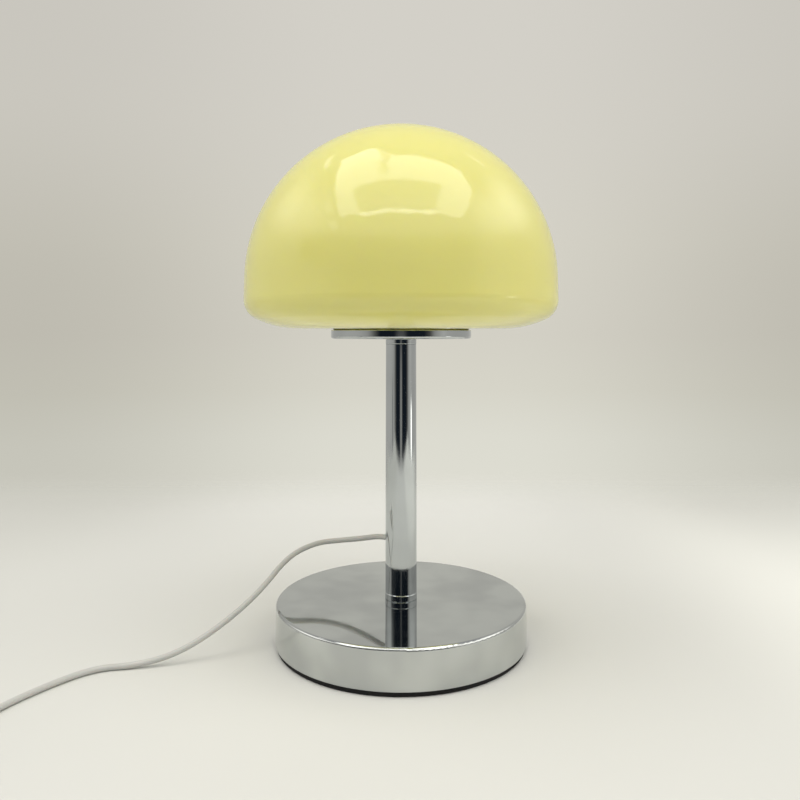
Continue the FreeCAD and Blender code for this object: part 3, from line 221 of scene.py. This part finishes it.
def turned_metal():
    """Turned aluminium: rings round the upright axis, one every 0.3 mm."""
    ring_rate = 21000.0
    ring_share = 0.35
    made, shader = material("sink_aluminium")
    place = object_place(shader)
    flat = shader.add("ShaderNodeVectorMath", {0: place, 1: (1.0, 1.0, 0.0)}, operation="MULTIPLY")
    radius = shader.add("ShaderNodeVectorMath", {0: flat.outputs[0]}, operation="LENGTH").outputs["Value"]
    rings = shader.math("SINE", shader.math("MULTIPLY", radius, ring_rate))
    tooth = shader.math("ADD", shader.math("MULTIPLY", rings, ring_share), shader.noise(place, scale=900.0))
    drift = shader.noise(place, scale=160.0)
    finish_surface(shader, {
        "Base Color": shader.mix(drift, linear(206, 208, 210), linear(222, 223, 224)),
        "Metallic": 1.0,
        "Roughness": shader.smooth(tooth, low=0.1, high=0.9, start=0.22, end=0.38),
    }, height=tooth, distance=0.00003, strength=0.4)
    return made


def cast_iron():
    """Dark cast iron with the coarse grain of the mould."""
    made, shader = material("weight_iron")
    place = object_place(shader)
    grain = shader.noise(place, scale=900.0, detail=4.0, roughness=0.7)
    finish_surface(shader, {
        "Base Color": shader.mix(grain, linear(38, 38, 40), linear(74, 74, 76)),
        "Metallic": 0.6,
        "Roughness": shader.smooth(grain, low=0.3, high=0.7, start=0.6, end=0.85),
    }, height=grain, distance=0.0002, strength=0.6)
    return made


def foam_rubber():
    """Black foam rubber with its fine cells."""
    made, shader = material("foot_rubber")
    place = object_place(shader)
    cells = shader.add("ShaderNodeTexVoronoi", {"Vector": place, "Scale": 1400.0}).outputs["Distance"]
    drift = shader.noise(place, scale=150.0, detail=3.0, roughness=0.6)
    finish_surface(shader, {
        "Base Color": shader.mix(drift, linear(9, 9, 10), linear(18, 18, 19)),
        "Roughness": shader.smooth(cells, low=0.0, high=0.6, start=0.75, end=0.92),
    }, height=cells, distance=0.0001, strength=0.5)
    return made


def circuit_board():
    """White solder mask with the copper's islands just showing through it."""
    made, shader = material("board_white")
    place = object_place(shader)
    islands = shader.add("ShaderNodeTexVoronoi", {"Vector": place, "Scale": 210.0},
                         feature="DISTANCE_TO_EDGE").outputs["Distance"]
    edge = shader.smooth(islands, low=0.03, high=0.09)
    finish_surface(shader, {
        "Base Color": shader.mix(edge, linear(205, 206, 200), linear(233, 233, 228)),
        "Roughness": shader.smooth(islands, low=0.0, high=0.4, start=0.32, end=0.45),
    }, height=edge, distance=0.00004, strength=0.4)
    return made


def cord_jacket():
    """Thin jacket, painted grey as the shade on a white cord: satin, with the slow marks of the extruder and
    of handling.
    """
    made, shader = material("cord_jacket")
    place = object_place(shader)
    drift = shader.noise(place, scale=60.0, detail=3.0, roughness=0.6)
    fine = shader.noise(place, scale=1600.0, roughness=0.55)
    finish_surface(shader, {
        # The grey is painted shade over the whole cord: the cord itself is white.
        "Base Color": shader.mix(drift, linear(184, 184, 181), linear(198, 198, 195)),
        "Roughness": shader.smooth(fine, low=0.25, high=0.75, start=0.38, end=0.55),
        "Subsurface Weight": 0.1,
        "Subsurface Scale": 0.001,
    }, height=fine, distance=0.00004, strength=0.3)
    return made


CHROME = chrome("chrome_plate", (197, 201, 202), (186, 190, 191), rounding=0.0002)
SHELL_CHROME = chrome("chrome_plate_shell", (202, 205, 204), (184, 187, 187), rounding=0.0012)
GLASS = opal_glass()
ZINC = plated("zinc_steel", (190, 192, 194), (160, 163, 168))
NICKEL = plated("plug_steel", (206, 206, 206), (184, 184, 186), roughness=(0.16, 0.3), grain=500.0)
BRASS = plated("contact_brass", (222, 190, 110), (196, 160, 80), roughness=(0.18, 0.32), grain=500.0)
BUSH = moulded("bush_rubber", (238, 237, 232), (224, 223, 217), roughness=(0.4, 0.6))
SILICONE = moulded("seat_silicone", (232, 232, 228), (220, 220, 216), roughness=(0.35, 0.5), grain=900.0)
PHOSPHOR = moulded("emitter_yellow", (240, 214, 96), (230, 198, 72), roughness=(0.2, 0.3), grain=3000.0)
DIFFUSER = moulded("diffuser_opal", (244, 244, 240), (236, 236, 232), roughness=(0.35, 0.5), grain=1800.0)
SWITCH = moulded("switch_plastic", (240, 239, 234), (231, 230, 225), roughness=(0.4, 0.55))
ROCKER = moulded("rocker_plastic", (246, 245, 241), (238, 237, 233), roughness=(0.18, 0.28),
                 grain=900.0, depth=0.00002, strength=0.2)
PLUG = moulded("plug_plastic", (240, 239, 234), (231, 230, 225), roughness=(0.4, 0.55))
INSULATOR = moulded("insulator_plastic", (240, 240, 238), (230, 230, 228), roughness=(0.2, 0.3),
                    grain=1500.0)
JACKET = cord_jacket()

FINISHES = {
    "foot_pad": foam_rubber(),
    "base_shell": SHELL_CHROME,
    "base_weight": cast_iron(),
    "base_bolt": ZINC,
    "base_spring_washer": ZINC,
    "base_flat_washer": ZINC,
    "lower_ferrule": CHROME,
    "column_tube": CHROME,
    "cord_grommet": BUSH,
    "upper_ferrule": CHROME,
    "shade_dish": CHROME,
    "shade_seat_ring": SILICONE,
    "threaded_nipple": ZINC,
    "dish_washer": ZINC,
    "dish_nut": ZINC,
    "led_heat_sink": turned_metal(),
    "led_board": circuit_board(),
    "led_emitters": PHOSPHOR,
    "led_screws": ZINC,
    "led_diffuser": DIFFUSER,
    "glass_shade": GLASS,
    "inner_cord": JACKET,
    "switch_base": SWITCH,
    "switch_cover": SWITCH,
    "switch_rocker": ROCKER,
    "switch_contacts": BRASS,
    "switch_screws": ZINC,
    "switch_sleeves": SWITCH,
    "usb_housing": PLUG,
    "usb_shell": NICKEL,
    "usb_insulator": INSULATOR,
    "usb_contacts": BRASS,
}
for node_name, finish in FINISHES.items():
    for material_slot in nodes[node_name].material_slots:
        material_slot.material = finish


# -------------------------------------------------------------------------------------------- cord
# Lengths are in metres, angles in radians.

CORD_RADIUS = 0.0015
TABLE_Z = 0.00155                       # the cord's middle where it lies on the table
SWITCH_AT = (-0.242, -0.118, 0.0055)
SWITCH_REACH = 0.031                    # from the switch's middle to the end of a sleeve
SWITCH_RUN_IN = 0.014                   # straight before the switch
SWITCH_RUN_OUT = 0.010                  # straight after it
PLUG_AT = (-0.292, -0.036, 0.004)
BOOT_LENGTH = 0.010
PLUG_RUN_IN = 0.008                     # straight before the plug's boot
EXIT_TURN = math.radians(132.0)
EXIT_HEIGHT = 0.0520
EXIT_RADIUS = 0.0096
EXIT_RUN_OUT = 0.0075                   # straight out of the column

COIL_ENTRY = (-0.2975, -0.078)
COIL_TURNS = 9                          # in two layers, half a turn of it from one to the other
COIL_STEPS = 16                         # control points for each turn
COIL_PITCH = 0.00355                    # from one turn to the next
COIL_MEAN_RADIUS = 0.018
COIL_REVERSE = math.pi * (COIL_TURNS - 0.5)
COIL_RATE = COIL_PITCH / (2 * math.pi)
COIL_OUTER = COIL_MEAN_RADIUS + COIL_RATE * COIL_REVERSE / 2
COIL_INNER = COIL_OUTER - COIL_RATE * COIL_REVERSE
COIL_END = 2 * math.pi * COIL_TURNS
COIL_RUN_STRAIGHT = 2 * CORD_RADIUS     # straight at both ends of the coil
COIL_RUN_IN = 0.013                     # from there back to the point before it
COIL_RUN_OUT = 0.009                    # and on to the point after it
HEADING_STEP = 0.001


def exit_point(radius):
    """A point on the line by which the cord leaves the column, at a distance from the axis."""
    return Vector((radius * math.cos(EXIT_TURN), radius * math.sin(EXIT_TURN), EXIT_HEIGHT))


def coil_point(turn, spread=1.0):
    """A point of the coil at an angle: spiral in on the table, up a layer, spiral out on top."""
    if turn <= COIL_REVERSE:
        radius = COIL_OUTER - COIL_RATE * turn
        height = 0.0
    elif turn <= COIL_REVERSE + math.pi:
        step = turn - COIL_REVERSE
        radius = COIL_INNER + COIL_RATE * (step * step / math.pi - step)
        height = COIL_PITCH * (1 - math.cos(step)) / 2
    else:
        radius = COIL_INNER + COIL_RATE * (turn - COIL_REVERSE - math.pi)
        height = COIL_PITCH
    radius *= spread
    return Vector((
        COIL_ENTRY[0] + COIL_OUTER - radius * math.cos(turn),
        COIL_ENTRY[1] + radius * math.sin(turn),
        TABLE_Z + height,
    ))


def coil_heading(turn):
    """The direction of the cord at an angle of the coil."""
    ahead = coil_point(turn + HEADING_STEP) - coil_point(turn - HEADING_STEP)
    return ahead.normalized()


def cord_curve(name, points):
    """A round cord on one smooth spline that has the given points as its control points."""
    curve = bpy.data.curves.new(name, "CURVE")
    curve.dimensions = "3D"
    curve.resolution_u = 6
    curve.bevel_depth = CORD_RADIUS
    curve.bevel_resolution = 5
    curve.use_fill_caps = True
    spline = curve.splines.new("NURBS")
    spline.points.add(len(points) - 1)
    for point, place in zip(spline.points, points):
        point.co = (*place, 1.0)
    spline.order_u = 3
    spline.use_endpoint_u = True
    made = bpy.data.objects.new(name, curve)
    scene.collection.objects.link(made)
    curve.materials.append(JACKET)
    return made


# The points of part.py's route.  Six are moved to follow the photograph, by 5.5 mm at most:
# the fifth to the eighth are higher here, the twelfth and the thirteenth further left.
lamp_lead = cord_curve("lamp_lead", [
    exit_point(EXIT_RADIUS),
    exit_point(EXIT_RADIUS + EXIT_RUN_OUT),
    (-0.0225, 0.0202, 0.0486),
    (-0.0360, 0.0263, 0.0459),
    (-0.0505, 0.0280, 0.0442),
    (-0.0655, 0.0145, 0.0402),
    (-0.0773, -0.0054, 0.0276),
    (-0.0930, -0.0216, 0.0164),
    (-0.1135, -0.0318, 0.0054),
    (-0.1340, -0.0376, TABLE_Z),
    (-0.1540, -0.0406, TABLE_Z),
    (-0.1700, -0.0610, TABLE_Z),
    (-0.1830, -0.0850, TABLE_Z),
    (-0.1845, -0.1070, 0.0028),
    (SWITCH_AT[0] + SWITCH_REACH + SWITCH_RUN_IN, SWITCH_AT[1], SWITCH_AT[2]),
    (SWITCH_AT[0] + SWITCH_REACH, SWITCH_AT[1], SWITCH_AT[2]),
])

# The spare cord: from the switch into the coil, and from the coil to the plug.  The control points
# of the turns stand out a little, because the spline cuts inside them.
coil_start = coil_point(0.0)
coil_end = coil_point(COIL_END)
start_heading = coil_heading(HEADING_STEP)
end_heading = coil_heading(COIL_END - HEADING_STEP)
turn_spread = 1 / math.cos(math.pi / COIL_STEPS)
coil_turns = [
    coil_point(2 * math.pi * step / COIL_STEPS, turn_spread)
    for step in range(1, COIL_STEPS * COIL_TURNS)
]
leave = SWITCH_AT[0] - SWITCH_REACH
plug_entry = PLUG_AT[1] - BOOT_LENGTH
far_lead = cord_curve("far_lead", [
    Vector((leave, SWITCH_AT[1], SWITCH_AT[2])),
    Vector((leave - SWITCH_RUN_OUT, SWITCH_AT[1], SWITCH_AT[2])),
    Vector((leave - 0.022, SWITCH_AT[1] + 0.008, 0.0026)),
    coil_start - start_heading * (COIL_RUN_STRAIGHT + COIL_RUN_IN),
    coil_start - start_heading * COIL_RUN_STRAIGHT,
    *coil_turns,
    coil_end + end_heading * COIL_RUN_STRAIGHT,
    coil_end + end_heading * (COIL_RUN_STRAIGHT + COIL_RUN_OUT),
    Vector((PLUG_AT[0], plug_entry - PLUG_RUN_IN, PLUG_AT[2])),
    Vector((PLUG_AT[0], plug_entry, PLUG_AT[2])),
])

for lead, replaced in ((lamp_lead, ["cord_to_switch"]),
                       (far_lead, ["cord_to_coil", "cord_coil", "cord_to_plug"])):
    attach(lead, "lamp")
    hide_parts(*replaced)


# ------------------------------------------------------------------------------------------- table

TABLE_REACH = (0.8, 0.85)               # half its sides
TABLE_ENDS_ASIDE = (0.52, 0.74)         # where it fades out, by X on both sides
TABLE_ENDS_BEHIND = (0.28, 0.52)        # and by Y
TABLE_ENDS_BEFORE = (-0.48, -0.68)
TABLE_LEFT_SHADE = (-0.12, -0.42)             # where painted shade darkens it on the left, by X
# where painted light makes it paler on the right, by X
TABLE_RIGHT_LIGHT = (0.15, 0.28)
TABLE_CORNER_SHADE = ((0.05, 0.34), (0.05, 0.35))    # the far corners, darkened with painted shade, by X and by Y
CORNER_SHADE_SHARE = 0.8


def floor():
    """A pale table whose surface fades out into the surroundings behind, in front and to the sides; painted
    light makes it paler on the right, painted shade darker on the left and in the far corners.
    """
    reach_x, reach_y = TABLE_REACH
    mesh = bpy.data.meshes.new("table")
    mesh.from_pydata(
        [(-reach_x, -reach_y, 0), (reach_x, -reach_y, 0), (reach_x, reach_y, 0), (-reach_x, reach_y, 0)],
        [], [(0, 1, 2, 3)],
    )
    table = bpy.data.objects.new("table", mesh)
    scene.collection.objects.link(table)

    made, shader = material("table_paper")
    place = object_place(shader)
    axes = shader.add("ShaderNodeSeparateXYZ", {0: place})
    x, y = axes.outputs["X"], axes.outputs["Y"]
    aside = shader.math("ABSOLUTE", x)
    clear = shader.greatest(
        shader.smooth(aside, *TABLE_ENDS_ASIDE),
        shader.smooth(y, *TABLE_ENDS_BEHIND),
        shader.smooth(y, *TABLE_ENDS_BEFORE),
    )
    corner_shade_x, corner_shade_y = TABLE_CORNER_SHADE
    corner_shade = shader.product(
        shader.smooth(y, *corner_shade_y), shader.smooth(aside, *corner_shade_x), CORNER_SHADE_SHARE)

    colour = shader.mix(shader.noise(place, scale=3.0), linear(210, 210, 206), linear(215, 215, 212))
    # Painted shade on the left and in the far corners, painted light on the right.
    colour = shader.mix(shader.smooth(x, *TABLE_LEFT_SHADE), colour, linear(202, 202, 197))
    colour = shader.mix(shader.smooth(x, *TABLE_RIGHT_LIGHT), colour, linear(229, 229, 224))
    colour = shader.mix(corner_shade, colour, linear(186, 186, 181))
    surface = shader.add("ShaderNodeBsdfPrincipled", {
        "Base Color": colour, "Roughness": 0.6, "Specular IOR Level": 0.25,
    })
    nothing = shader.add("ShaderNodeBsdfTransparent")
    both = shader.add("ShaderNodeMixShader", {0: clear, 1: surface.outputs[0], 2: nothing.outputs[0]})
    shader.add("ShaderNodeOutputMaterial", {"Surface": both.outputs[0]})
    mesh.materials.append(made)


# -------------------------------------------------------------------------------------------- room
# The room has no geometry, only light by direction.  An azimuth is a share of the turn round the
# lamp: 0 and 1 are behind it, 0.25 is on its left, 0.5 behind the camera and 0.75 on its right.
# A height is the direction's Z, from -1, straight down, to 1, straight up.  A fade is (low, high)
# with or without the values at those two ends, a band (low, high, soft).

def grey(level):
    """A slightly warm grey of the room."""
    return (level * 1.02, level, level * 0.94, 1.0)


CAMERA_AZIMUTH = 0.5
DUSK = (0.011, 0.016, 0.023, 1.0)       # the unlit side
ZENITH = (0.42, 0.42, 0.42, 1.0)        # straight up
AROUND = grey(0.52)                     # below the walls, and over them up to the zenith
WALL = linear(207, 206, 198)            # behind the lamp
WALLS = [
    (0.000, WALL), (0.100, grey(0.53)), (0.230, grey(0.56)), (0.300, grey(0.52)), (0.345, grey(0.44)),
    (0.360, grey(0.34)), (0.384, grey(0.12)), (0.405, DUSK), (0.604, DUSK), (0.631, grey(0.09)),
    (0.655, grey(0.38)), (0.679, grey(0.50)), (0.700, grey(0.60)), (0.722, grey(0.54)),
    (0.780, grey(0.50)), (0.900, grey(0.52)), (1.000, WALL),
]
WALLS_FOOT = (-0.34, -0.22)             # the heights over which the walls fade in, and out again
WALLS_TOP = (0.36, 0.46, 1.0, 0.0)
ZENITH_RISE = (0.55, 0.80)

HIGH_DUSK = (0.290, 0.637, 0.014)       # above eye level the unlit side is wider
HIGH_DUSK_RISE = (0.10, 0.20, 0.0, 0.92)
POST = (0.309, 0.319, 0.005)            # a narrow dark upright thing on the left
POST_HEIGHT = (-0.300, -0.065, 0.030)
POST_STRENGTH = 0.75
STREAK = (0.004, 0.034, 1.0, 0.0)       # a paler streak straight behind the camera: wide low down
STREAK_RISE = (0.03, -0.08, 0.12, 1.0)
HIGH_STREAK = (0.002, 0.014, 1.0, 0.0)  # and narrow high up
HIGH_STREAK_RISE = (0.14, 0.20, 0.0, 0.5)
STREAK_TONE = grey(0.34)

FILL_FRONT = (-0.10, 0.50)              # a soft light high over the front half
FILL_HEIGHT = (0.45, 0.80, 0.05)
FILL_TONE = grey(0.84)
SIDES = (0.180, 0.330, 0.050)           # two brighter ones, by azimuth from the camera's
SIDES_HEIGHT = (0.40, 0.70, 0.110)
SIDES_CHANGE = (-0.3, 0.3)              # from the left's tone to the right's, by the direction's X
LEFT_TONE = grey(1.68)
RIGHT_TONE = grey(2.10)
GLINT = (0.715, 0.742, 0.005)           # a small bright thing low on the right
GLINT_HEIGHT = (-0.165, -0.090, 0.012)
GLINT_TONE = grey(2.4)


def room(shader, x, y, z):
    """Pale walls with an unlit side behind the camera, and soft lights high on both sides."""
    front = shader.math("MULTIPLY", y, -1.0)
    turn = shader.math("DIVIDE", shader.math("ARCTAN2", x, front), 2 * math.pi)
    azimuth = shader.math("ADD", turn, CAMERA_AZIMUTH)
    aside = shader.math("ABSOLUTE", shader.math("SUBTRACT", azimuth, CAMERA_AZIMUTH))

    dark = shader.greatest(
        shader.product(shader.band(azimuth, *HIGH_DUSK), shader.smooth(z, *HIGH_DUSK_RISE)),
        shader.patch(azimuth, POST, z, POST_HEIGHT, POST_STRENGTH),
    )
    streak = shader.greatest(
        shader.product(shader.smooth(aside, *STREAK), shader.smooth(z, *STREAK_RISE)),
        shader.product(shader.smooth(aside, *HIGH_STREAK), shader.smooth(z, *HIGH_STREAK_RISE)),
    )
    walls = shader.mix(dark, shader.ramp(azimuth, WALLS), DUSK)
    walls = shader.mix(streak, walls, STREAK_TONE)
    within = shader.product(shader.smooth(z, *WALLS_FOOT), shader.smooth(z, *WALLS_TOP))
    light = shader.mix(shader.smooth(z, *ZENITH_RISE), AROUND, ZENITH)
    light = shader.mix(within, light, walls)

    fill = shader.product(shader.smooth(front, *FILL_FRONT), shader.band(z, *FILL_HEIGHT))
    light = shader.mix(fill, light, FILL_TONE)
    side_tone = shader.mix(shader.smooth(x, *SIDES_CHANGE), LEFT_TONE, RIGHT_TONE)
    light = shader.mix(shader.patch(aside, SIDES, z, SIDES_HEIGHT), light, side_tone)
    return shader.mix(shader.patch(azimuth, GLINT, z, GLINT_HEIGHT), light, GLINT_TONE)


# The window lies on a plane across the direction towards it.  Its places are (across, up) on that
# plane, at a distance of 1.
WINDOW_ELEVATION = math.radians(65)
WINDOW_LEVEL = 3.1
WINDOW_TONE = (WINDOW_LEVEL, WINDOW_LEVEL * 0.985, WINDOW_LEVEL * 0.94, 1.0)
WAVE_ACROSS = (4.2, 0.20)               # its outline is a little wavy: the noise's scale, and how far
WAVE_UP = (6.5, 0.14)
NEAREST_DEPTH = 0.05
DEPTH_FADE = (0.05, 0.30)
PANE_BLUR = 0.035
SILL_CURVE, SILL_AT = 0.22, 0.43        # the sill bends down in the middle
LEFT_LEAN, LEFT_AT = 0.20, -0.80        # the left edge leans, the right one steps in higher up
RIGHT_STEP, RIGHT_RISE, RIGHT_AT = -0.26, (0.15, 0.60), 0.85
TOP_STEP = (-0.24, -0.06, 0.84, 0.52)   # the left part reaches higher
LOW_PANE = (-0.50, 0.40, 0.05)          # its dimmer part low down
LOW_PANE_UP = (-0.36, 0.07, 0.035)
LOW_PANE_SHADE = 0.78
BAR = (-0.20, -0.12, 0.03)              # the bar between its two parts
BAR_RISE = (0.10, 0.30)
BAR_SHADE = 0.60
FAINT = [                               # pale things round it: bands across and up
    ((-1.10, -0.95, 0.04), (-0.46, -0.28, 0.04)),
    ((-1.02, -0.90, 0.04), (-0.10, 0.10, 0.04)),
    ((-0.88, -0.78, 0.04), (0.90, 1.35, 0.05)),
    ((0.73, 1.05, 0.05), (1.32, 1.42, 0.03)),
]
FAINT_SHARE = 0.45
FAINT_TONE = grey(WINDOW_LEVEL)
LEDGE = (-0.52, 0.42, 0.05)             # the bright ledge just over its sill
LEDGE_OVER_SILL = (0.010, 0.055)
LEDGE_BLUR = 0.012
LEDGE_TONE = grey(WINDOW_LEVEL * 1.5)


def window(shader, ray, x, light):
    """A high window in front of the lamp, laid over the light of the room."""
    towards = Vector((0.0, -math.cos(WINDOW_ELEVATION), math.sin(WINDOW_ELEVATION)))
    upwards = Vector((0.0, math.sin(WINDOW_ELEVATION), math.cos(WINDOW_ELEVATION)))
    depth = shader.dot(ray, towards)
    safe_depth = shader.math("MAXIMUM", depth, NEAREST_DEPTH)

    def wavy(distance, scale, reach):
        wave = shader.math("SUBTRACT", shader.noise(ray, scale), 0.5)
        return shader.math(
            "ADD", shader.math("DIVIDE", distance, safe_depth), shader.math("MULTIPLY", wave, reach))

    across = wavy(x, *WAVE_ACROSS)
    up = wavy(shader.dot(ray, upwards), *WAVE_UP)
    sill = shader.math("SUBTRACT", shader.product(across, across, SILL_CURVE), SILL_AT)
    left = shader.math("ADD", shader.math("MULTIPLY", up, LEFT_LEAN), LEFT_AT)
    right = shader.math("ADD", shader.math("MULTIPLY", shader.smooth(up, *RIGHT_RISE), RIGHT_STEP), RIGHT_AT)
    top = shader.smooth(across, *TOP_STEP)

    low_pane = shader.patch(across, LOW_PANE, up, LOW_PANE_UP, LOW_PANE_SHADE)
    bar = shader.product(shader.band(across, *BAR), shader.smooth(up, *BAR_RISE), BAR_SHADE)
    glow = shader.product(
        shader.patch(across, (left, right, PANE_BLUR), up, (sill, top, PANE_BLUR)),
        shader.smooth(depth, *DEPTH_FADE),
        shader.math("SUBTRACT", 1.0, low_pane),
        shader.math("SUBTRACT", 1.0, bar),
    )
    light = shader.mix(glow, light, WINDOW_TONE)
    for faint_across, faint_up in FAINT:
        faint = shader.patch(across, faint_across, up, faint_up, FAINT_SHARE)
        light = shader.mix(faint, light, FAINT_TONE)
    ledge_low, ledge_high = (shader.math("ADD", sill, rise) for rise in LEDGE_OVER_SILL)
    ledge = shader.patch(across, LEDGE, up, (ledge_low, ledge_high, LEDGE_BLUR))
    return shader.mix(ledge, light, LEDGE_TONE)


BACKDROP_HEIGHT = (-0.26, 0.40)
BACKDROP = [
    (0.00, linear(222, 221, 210)), (0.10, linear(220, 219, 208)), (0.20, linear(214, 212, 200)),
    (0.34, linear(211, 208, 197)), (0.60, linear(213, 210, 199)), (1.00, linear(211, 208, 200)),
]
BACKDROP_MIDDLE = 0.05                  # the direction's X round which it is brightest
DIMMER_ASIDE = (0.08, 0.50)
DIMMER_HEIGHT = (0.30, 0.05, 0.12, 0.25)
DIMMER_TONE = linear(92, 88, 72)


def backdrop(shader, x, z):
    """The wall as the camera sees it: palest by the table, and dimmer to both sides."""
    wall = shader.ramp(shader.smooth(z, *BACKDROP_HEIGHT), BACKDROP)
    aside = shader.math("ABSOLUTE", shader.math("SUBTRACT", x, BACKDROP_MIDDLE))
    dimmer = shader.product(shader.smooth(aside, *DIMMER_ASIDE), shader.smooth(z, *DIMMER_HEIGHT))
    return shader.mix(dimmer, wall, DIMMER_TONE)


def surroundings():
    """A soft studio: the room and its window light the lamp, the camera sees the backdrop."""
    world = bpy.data.worlds.new("studio")
    scene.world = world
    world.use_nodes = True
    shader = Shader(world.node_tree)
    ray = shader.add("ShaderNodeTexCoord").outputs["Generated"]
    axes = shader.add("ShaderNodeSeparateXYZ", {0: ray})
    x, y, z = (axes.outputs[name] for name in ("X", "Y", "Z"))
    light = window(shader, ray, x, room(shader, x, y, z))
    path = shader.add("ShaderNodeLightPath")
    seen = shader.mix(path.outputs["Is Camera Ray"], light, backdrop(shader, x, z))
    background = shader.add("ShaderNodeBackground", {"Color": seen, "Strength": 1.0})
    shader.add("ShaderNodeOutputWorld", {"Surface": background.outputs[0]})


# ------------------------------------------------------------------------------------------ camera

SENSOR_WIDTH = 36.0                     # millimetres, as is the focal length
FOCAL_LENGTH = 33.885
SHIFT_Y = -0.1875
CAMERA_AT = (-0.0006, -0.4394, 0.1683)
CAMERA_TILT = math.radians(96.35)       # 90 degrees is level
NEAR, FAR = 0.01, 50.0


def camera():
    """At the photograph's place: level with the dish, looking slightly up."""
    data = bpy.data.cameras.new("camera")
    data.sensor_width = SENSOR_WIDTH
    data.lens = FOCAL_LENGTH
    data.shift_y = SHIFT_Y
    data.clip_start = NEAR
    data.clip_end = FAR
    eye = bpy.data.objects.new("camera", data)
    eye.location = CAMERA_AT
    eye.rotation_euler = (CAMERA_TILT, 0.0, 0.0)
    scene.collection.objects.link(eye)
    scene.camera = eye


floor()
surroundings()
camera()
scene.view_settings.view_transform = "Standard"
